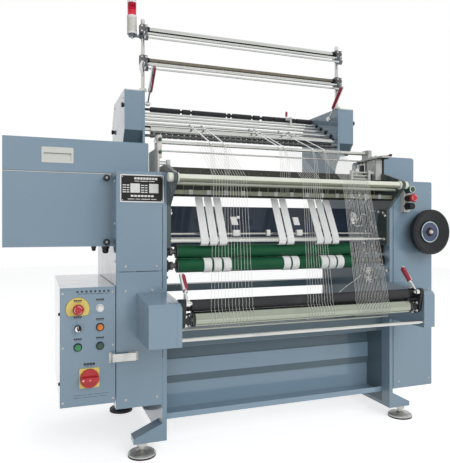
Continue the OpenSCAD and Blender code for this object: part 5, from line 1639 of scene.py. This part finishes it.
class KNIT_OT_station(Operator):
    """Rim, collars and buttons of the button station on the right cabinet."""

    bl_idname = "knit.station"
    bl_label = "Button station"

    def execute(self, context):
        x, y = OUTER + 49, FACE - 25
        a, b = low("station_box"), high("station_box")
        rim, collars = Shape(), Shape()
        outer = rounded((a.x - 0.4, a.z - 0.4), (b.x + 0.4, b.z + 0.4), 5)
        rim.framed(1, outer, rounded((a.x + 0.7, a.z + 0.7), (b.x - 0.7, b.z - 0.7), 4.2), y - 0.9, y + 0.3)
        rim.made("station_rim", "white", 0.2, slot="grey_plastic")
        collars.block((a.x - 0.3, y - 0.3, DECK - 87.5), (b.x + 0.3, y + 0.2, DECK - 86.5))
        ring = collar_outline(14.6, 13.3, 6, 0.6, start=-0.2)
        for z in (-37, -103):
            collars.ring((x, y, DECK + z), FRONT, ring, 36)
        ring = [(-0.2, 13), (18, 13), (20, 11.5), (20, 8.4), (-0.2, 8.4)]
        collars.ring((x, y, DECK - 71), FRONT, ring, 36)
        collars.made("station_collars", "black")
        cap("station_start", (x, y, DECK - 37), 13, 34, "dark_green", "green_plastic")
        cap("station_jog", (x, y, DECK - 103), 13, 34, "black")
        mushroom("station_stop", (x, y, DECK - 71), 17, 25)
        ring = [(30, 13.1), (34, 13.1), (34.6, 12.2), (34.4, 11), (30, 11)]
        silver = Shape().ring((x, y, DECK - 37), FRONT, ring, 36)
        silver.made("station_start_ring", "aluminium", body="station_start")
        return {"FINISHED"}


class KNIT_OT_bay_panels(Operator):
    """Painted shade on the inner faces of the bay, a painted light band and painted shadows on the cloth
    tray, a painted highlight along the front beam, rubber rings of the feet, the rod lug cover, and rear
    covers.
    """

    bl_idname = "knit.bay_panels"
    bl_label = "Bay panels"

    def execute(self, context):
        shade_sheet, band, dark, edge_highlight = Shape(), Shape(), Shape(), Shape()
        # dark sheets on the inner faces of the side frames: painted shade
        for side in SIDES:
            a, b = side * (HALF - 0.9), side * (HALF + 0.2)
            shade_sheet.block((a, FACE + 50, 60), (b, FACE + 518, 600))
            shade_sheet.block((a, FACE + 95, 600), (b, FACE + 518, DECK - 6))
        # lighter band across the tray's back panel: painted light
        band.block((1 - HALF, FACE + 144.6, 223), (HALF - 1, FACE + 146.2, 283))
        # darker strips under the tray's rib and under the front beam: painted shadows
        dark.block((1 - HALF, FACE + 145.2, 196), (HALF - 1, FACE + 146.4, 222.4))
        dark.block((1 - HALF, FACE + 150.4, 284.5), (HALF - 1, FACE + 152.2, 324))
        # pale rod along the front beam's top edge: a painted highlight
        edge_highlight.bar((-HALF, FACE + 11, 415), (HALF, FACE + 11, 415), 2.6)
        shade_sheet.made("bay_painted_shade", "paint_shade")
        band.made("tray_painted_light_band", "paint_light", 0.6)
        dark.made("tray_painted_shadows", "paint_shade")
        edge_highlight.made("beam_edge_painted_highlight", "tube", slot="stainless")
        rings, pad = Shape(), Shape()
        for x in (-OUTER - 66, OUTER + 50):
            for y in (0, 460):
                ring = [(0, 40), (0, 47.5), (4.5, 47.7), (5.5, 47.2), (5.5, 40)]
                rings.ring((x, y, 0), UP, ring, 48)
        outline = [(0, 47.7), (10.2, 47.6), (14.6, 41.3), (17.6, 18.6), (22.6, 10.4)]
        pad.turned((-OUTER - 66, 460, 0), UP, outline, 48)
        rings.made("foot_rubbers", "black_rubber")
        pad.made("rear_left_pad", "black_rubber")
        lug, knobs = Shape(), Shape()
        lug.block((-OUTER - 0.7, FACE + 69.4, DECK + 0.5), (-OUTER + 6.7, FACE + 224.6, DECK + 96.6))
        lug.block((-OUTER - 0.6, FACE + 76.3, DECK + 59.5), (-HALF + 0.6, FACE + 123.6, DECK + 140.6))
        lug.made("rod_lug_cover", "grey_plastic", 1.5)
        knob = [(-0.5, 4), (2, 4), (3, 6.4), (9, 6.6), (11, 5), (11.4, 0)]
        for z in (DECK + 124, DECK + 79):
            knobs.turned((-HALF - 8, FACE + 76.5, z), FRONT, knob, 24)
        knobs.made("rod_lug_knobs", "dark_green")
        rear, screws = Shape(), Shape()
        for x0, x1, z0, z1 in ((-OUTER - 144, -OUTER - 12, 500, 900), (OUTER + 16, OUTER + 178, 470, 900)):
            rear.plate(1, rounded((x0, z0), (x1, z1), 6), FACE + 529.8, FACE + 532)
            for x in (x0 + 9, x1 - 9):
                for z in (z0 + 9, z1 - 9):
                    screws.screw((x, FACE + 532, z), REAR, 4.0)
        rear.made("rear_covers", "paint", 0.5)
        screws.made("rear_cover_screws", "zinc")
        return {"FINISHED"}


OPERATORS = (
    KNIT_OT_stage,
    KNIT_OT_finishes,
    KNIT_OT_cabinet_fittings,
    KNIT_OT_name_plate,
    KNIT_OT_control_panel,
    KNIT_OT_buttons,
    KNIT_OT_latch,
    KNIT_OT_handwheel,
    KNIT_OT_levers,
    KNIT_OT_take_off_ends,
    KNIT_OT_roller_ends,
    KNIT_OT_yarns,
    KNIT_OT_strips,
    KNIT_OT_needle_unit,
    KNIT_OT_link_mechanism,
    KNIT_OT_creel,
    KNIT_OT_lamp,
    KNIT_OT_upper_feed,
    KNIT_OT_station,
    KNIT_OT_bay_panels,
)


class KNIT_PT_panel(Panel):
    """Lists the groups of pieces in the order in which they are made."""

    bl_idname = "KNIT_PT_panel"
    bl_label = "Knitting machine"
    bl_space_type = "VIEW_3D"
    bl_region_type = "UI"
    bl_category = "Knitting"

    def draw(self, context):
        for group in (context.scene.knit_colours, context.scene.knit_stage):
            for name in group.__annotations__:
                self.layout.prop(group, name)
        for operator in OPERATORS:
            self.layout.operator(operator.bl_idname)


CLASSES = (KNIT_PG_colours, KNIT_PG_stage, *OPERATORS, KNIT_PT_panel)


def register():
    for cls in CLASSES:
        bpy.utils.register_class(cls)
    bpy.types.Scene.knit_colours = PointerProperty(type=KNIT_PG_colours)
    bpy.types.Scene.knit_stage = PointerProperty(type=KNIT_PG_stage)


def unregister():
    del bpy.types.Scene.knit_stage
    del bpy.types.Scene.knit_colours
    for cls in reversed(CLASSES):
        bpy.utils.unregister_class(cls)


def main():
    """Builds everything."""
    register()
    for operator in OPERATORS:
        getattr(bpy.ops.knit, operator.bl_idname.split(".")[1])()


if __name__ == "__main__":
    main()
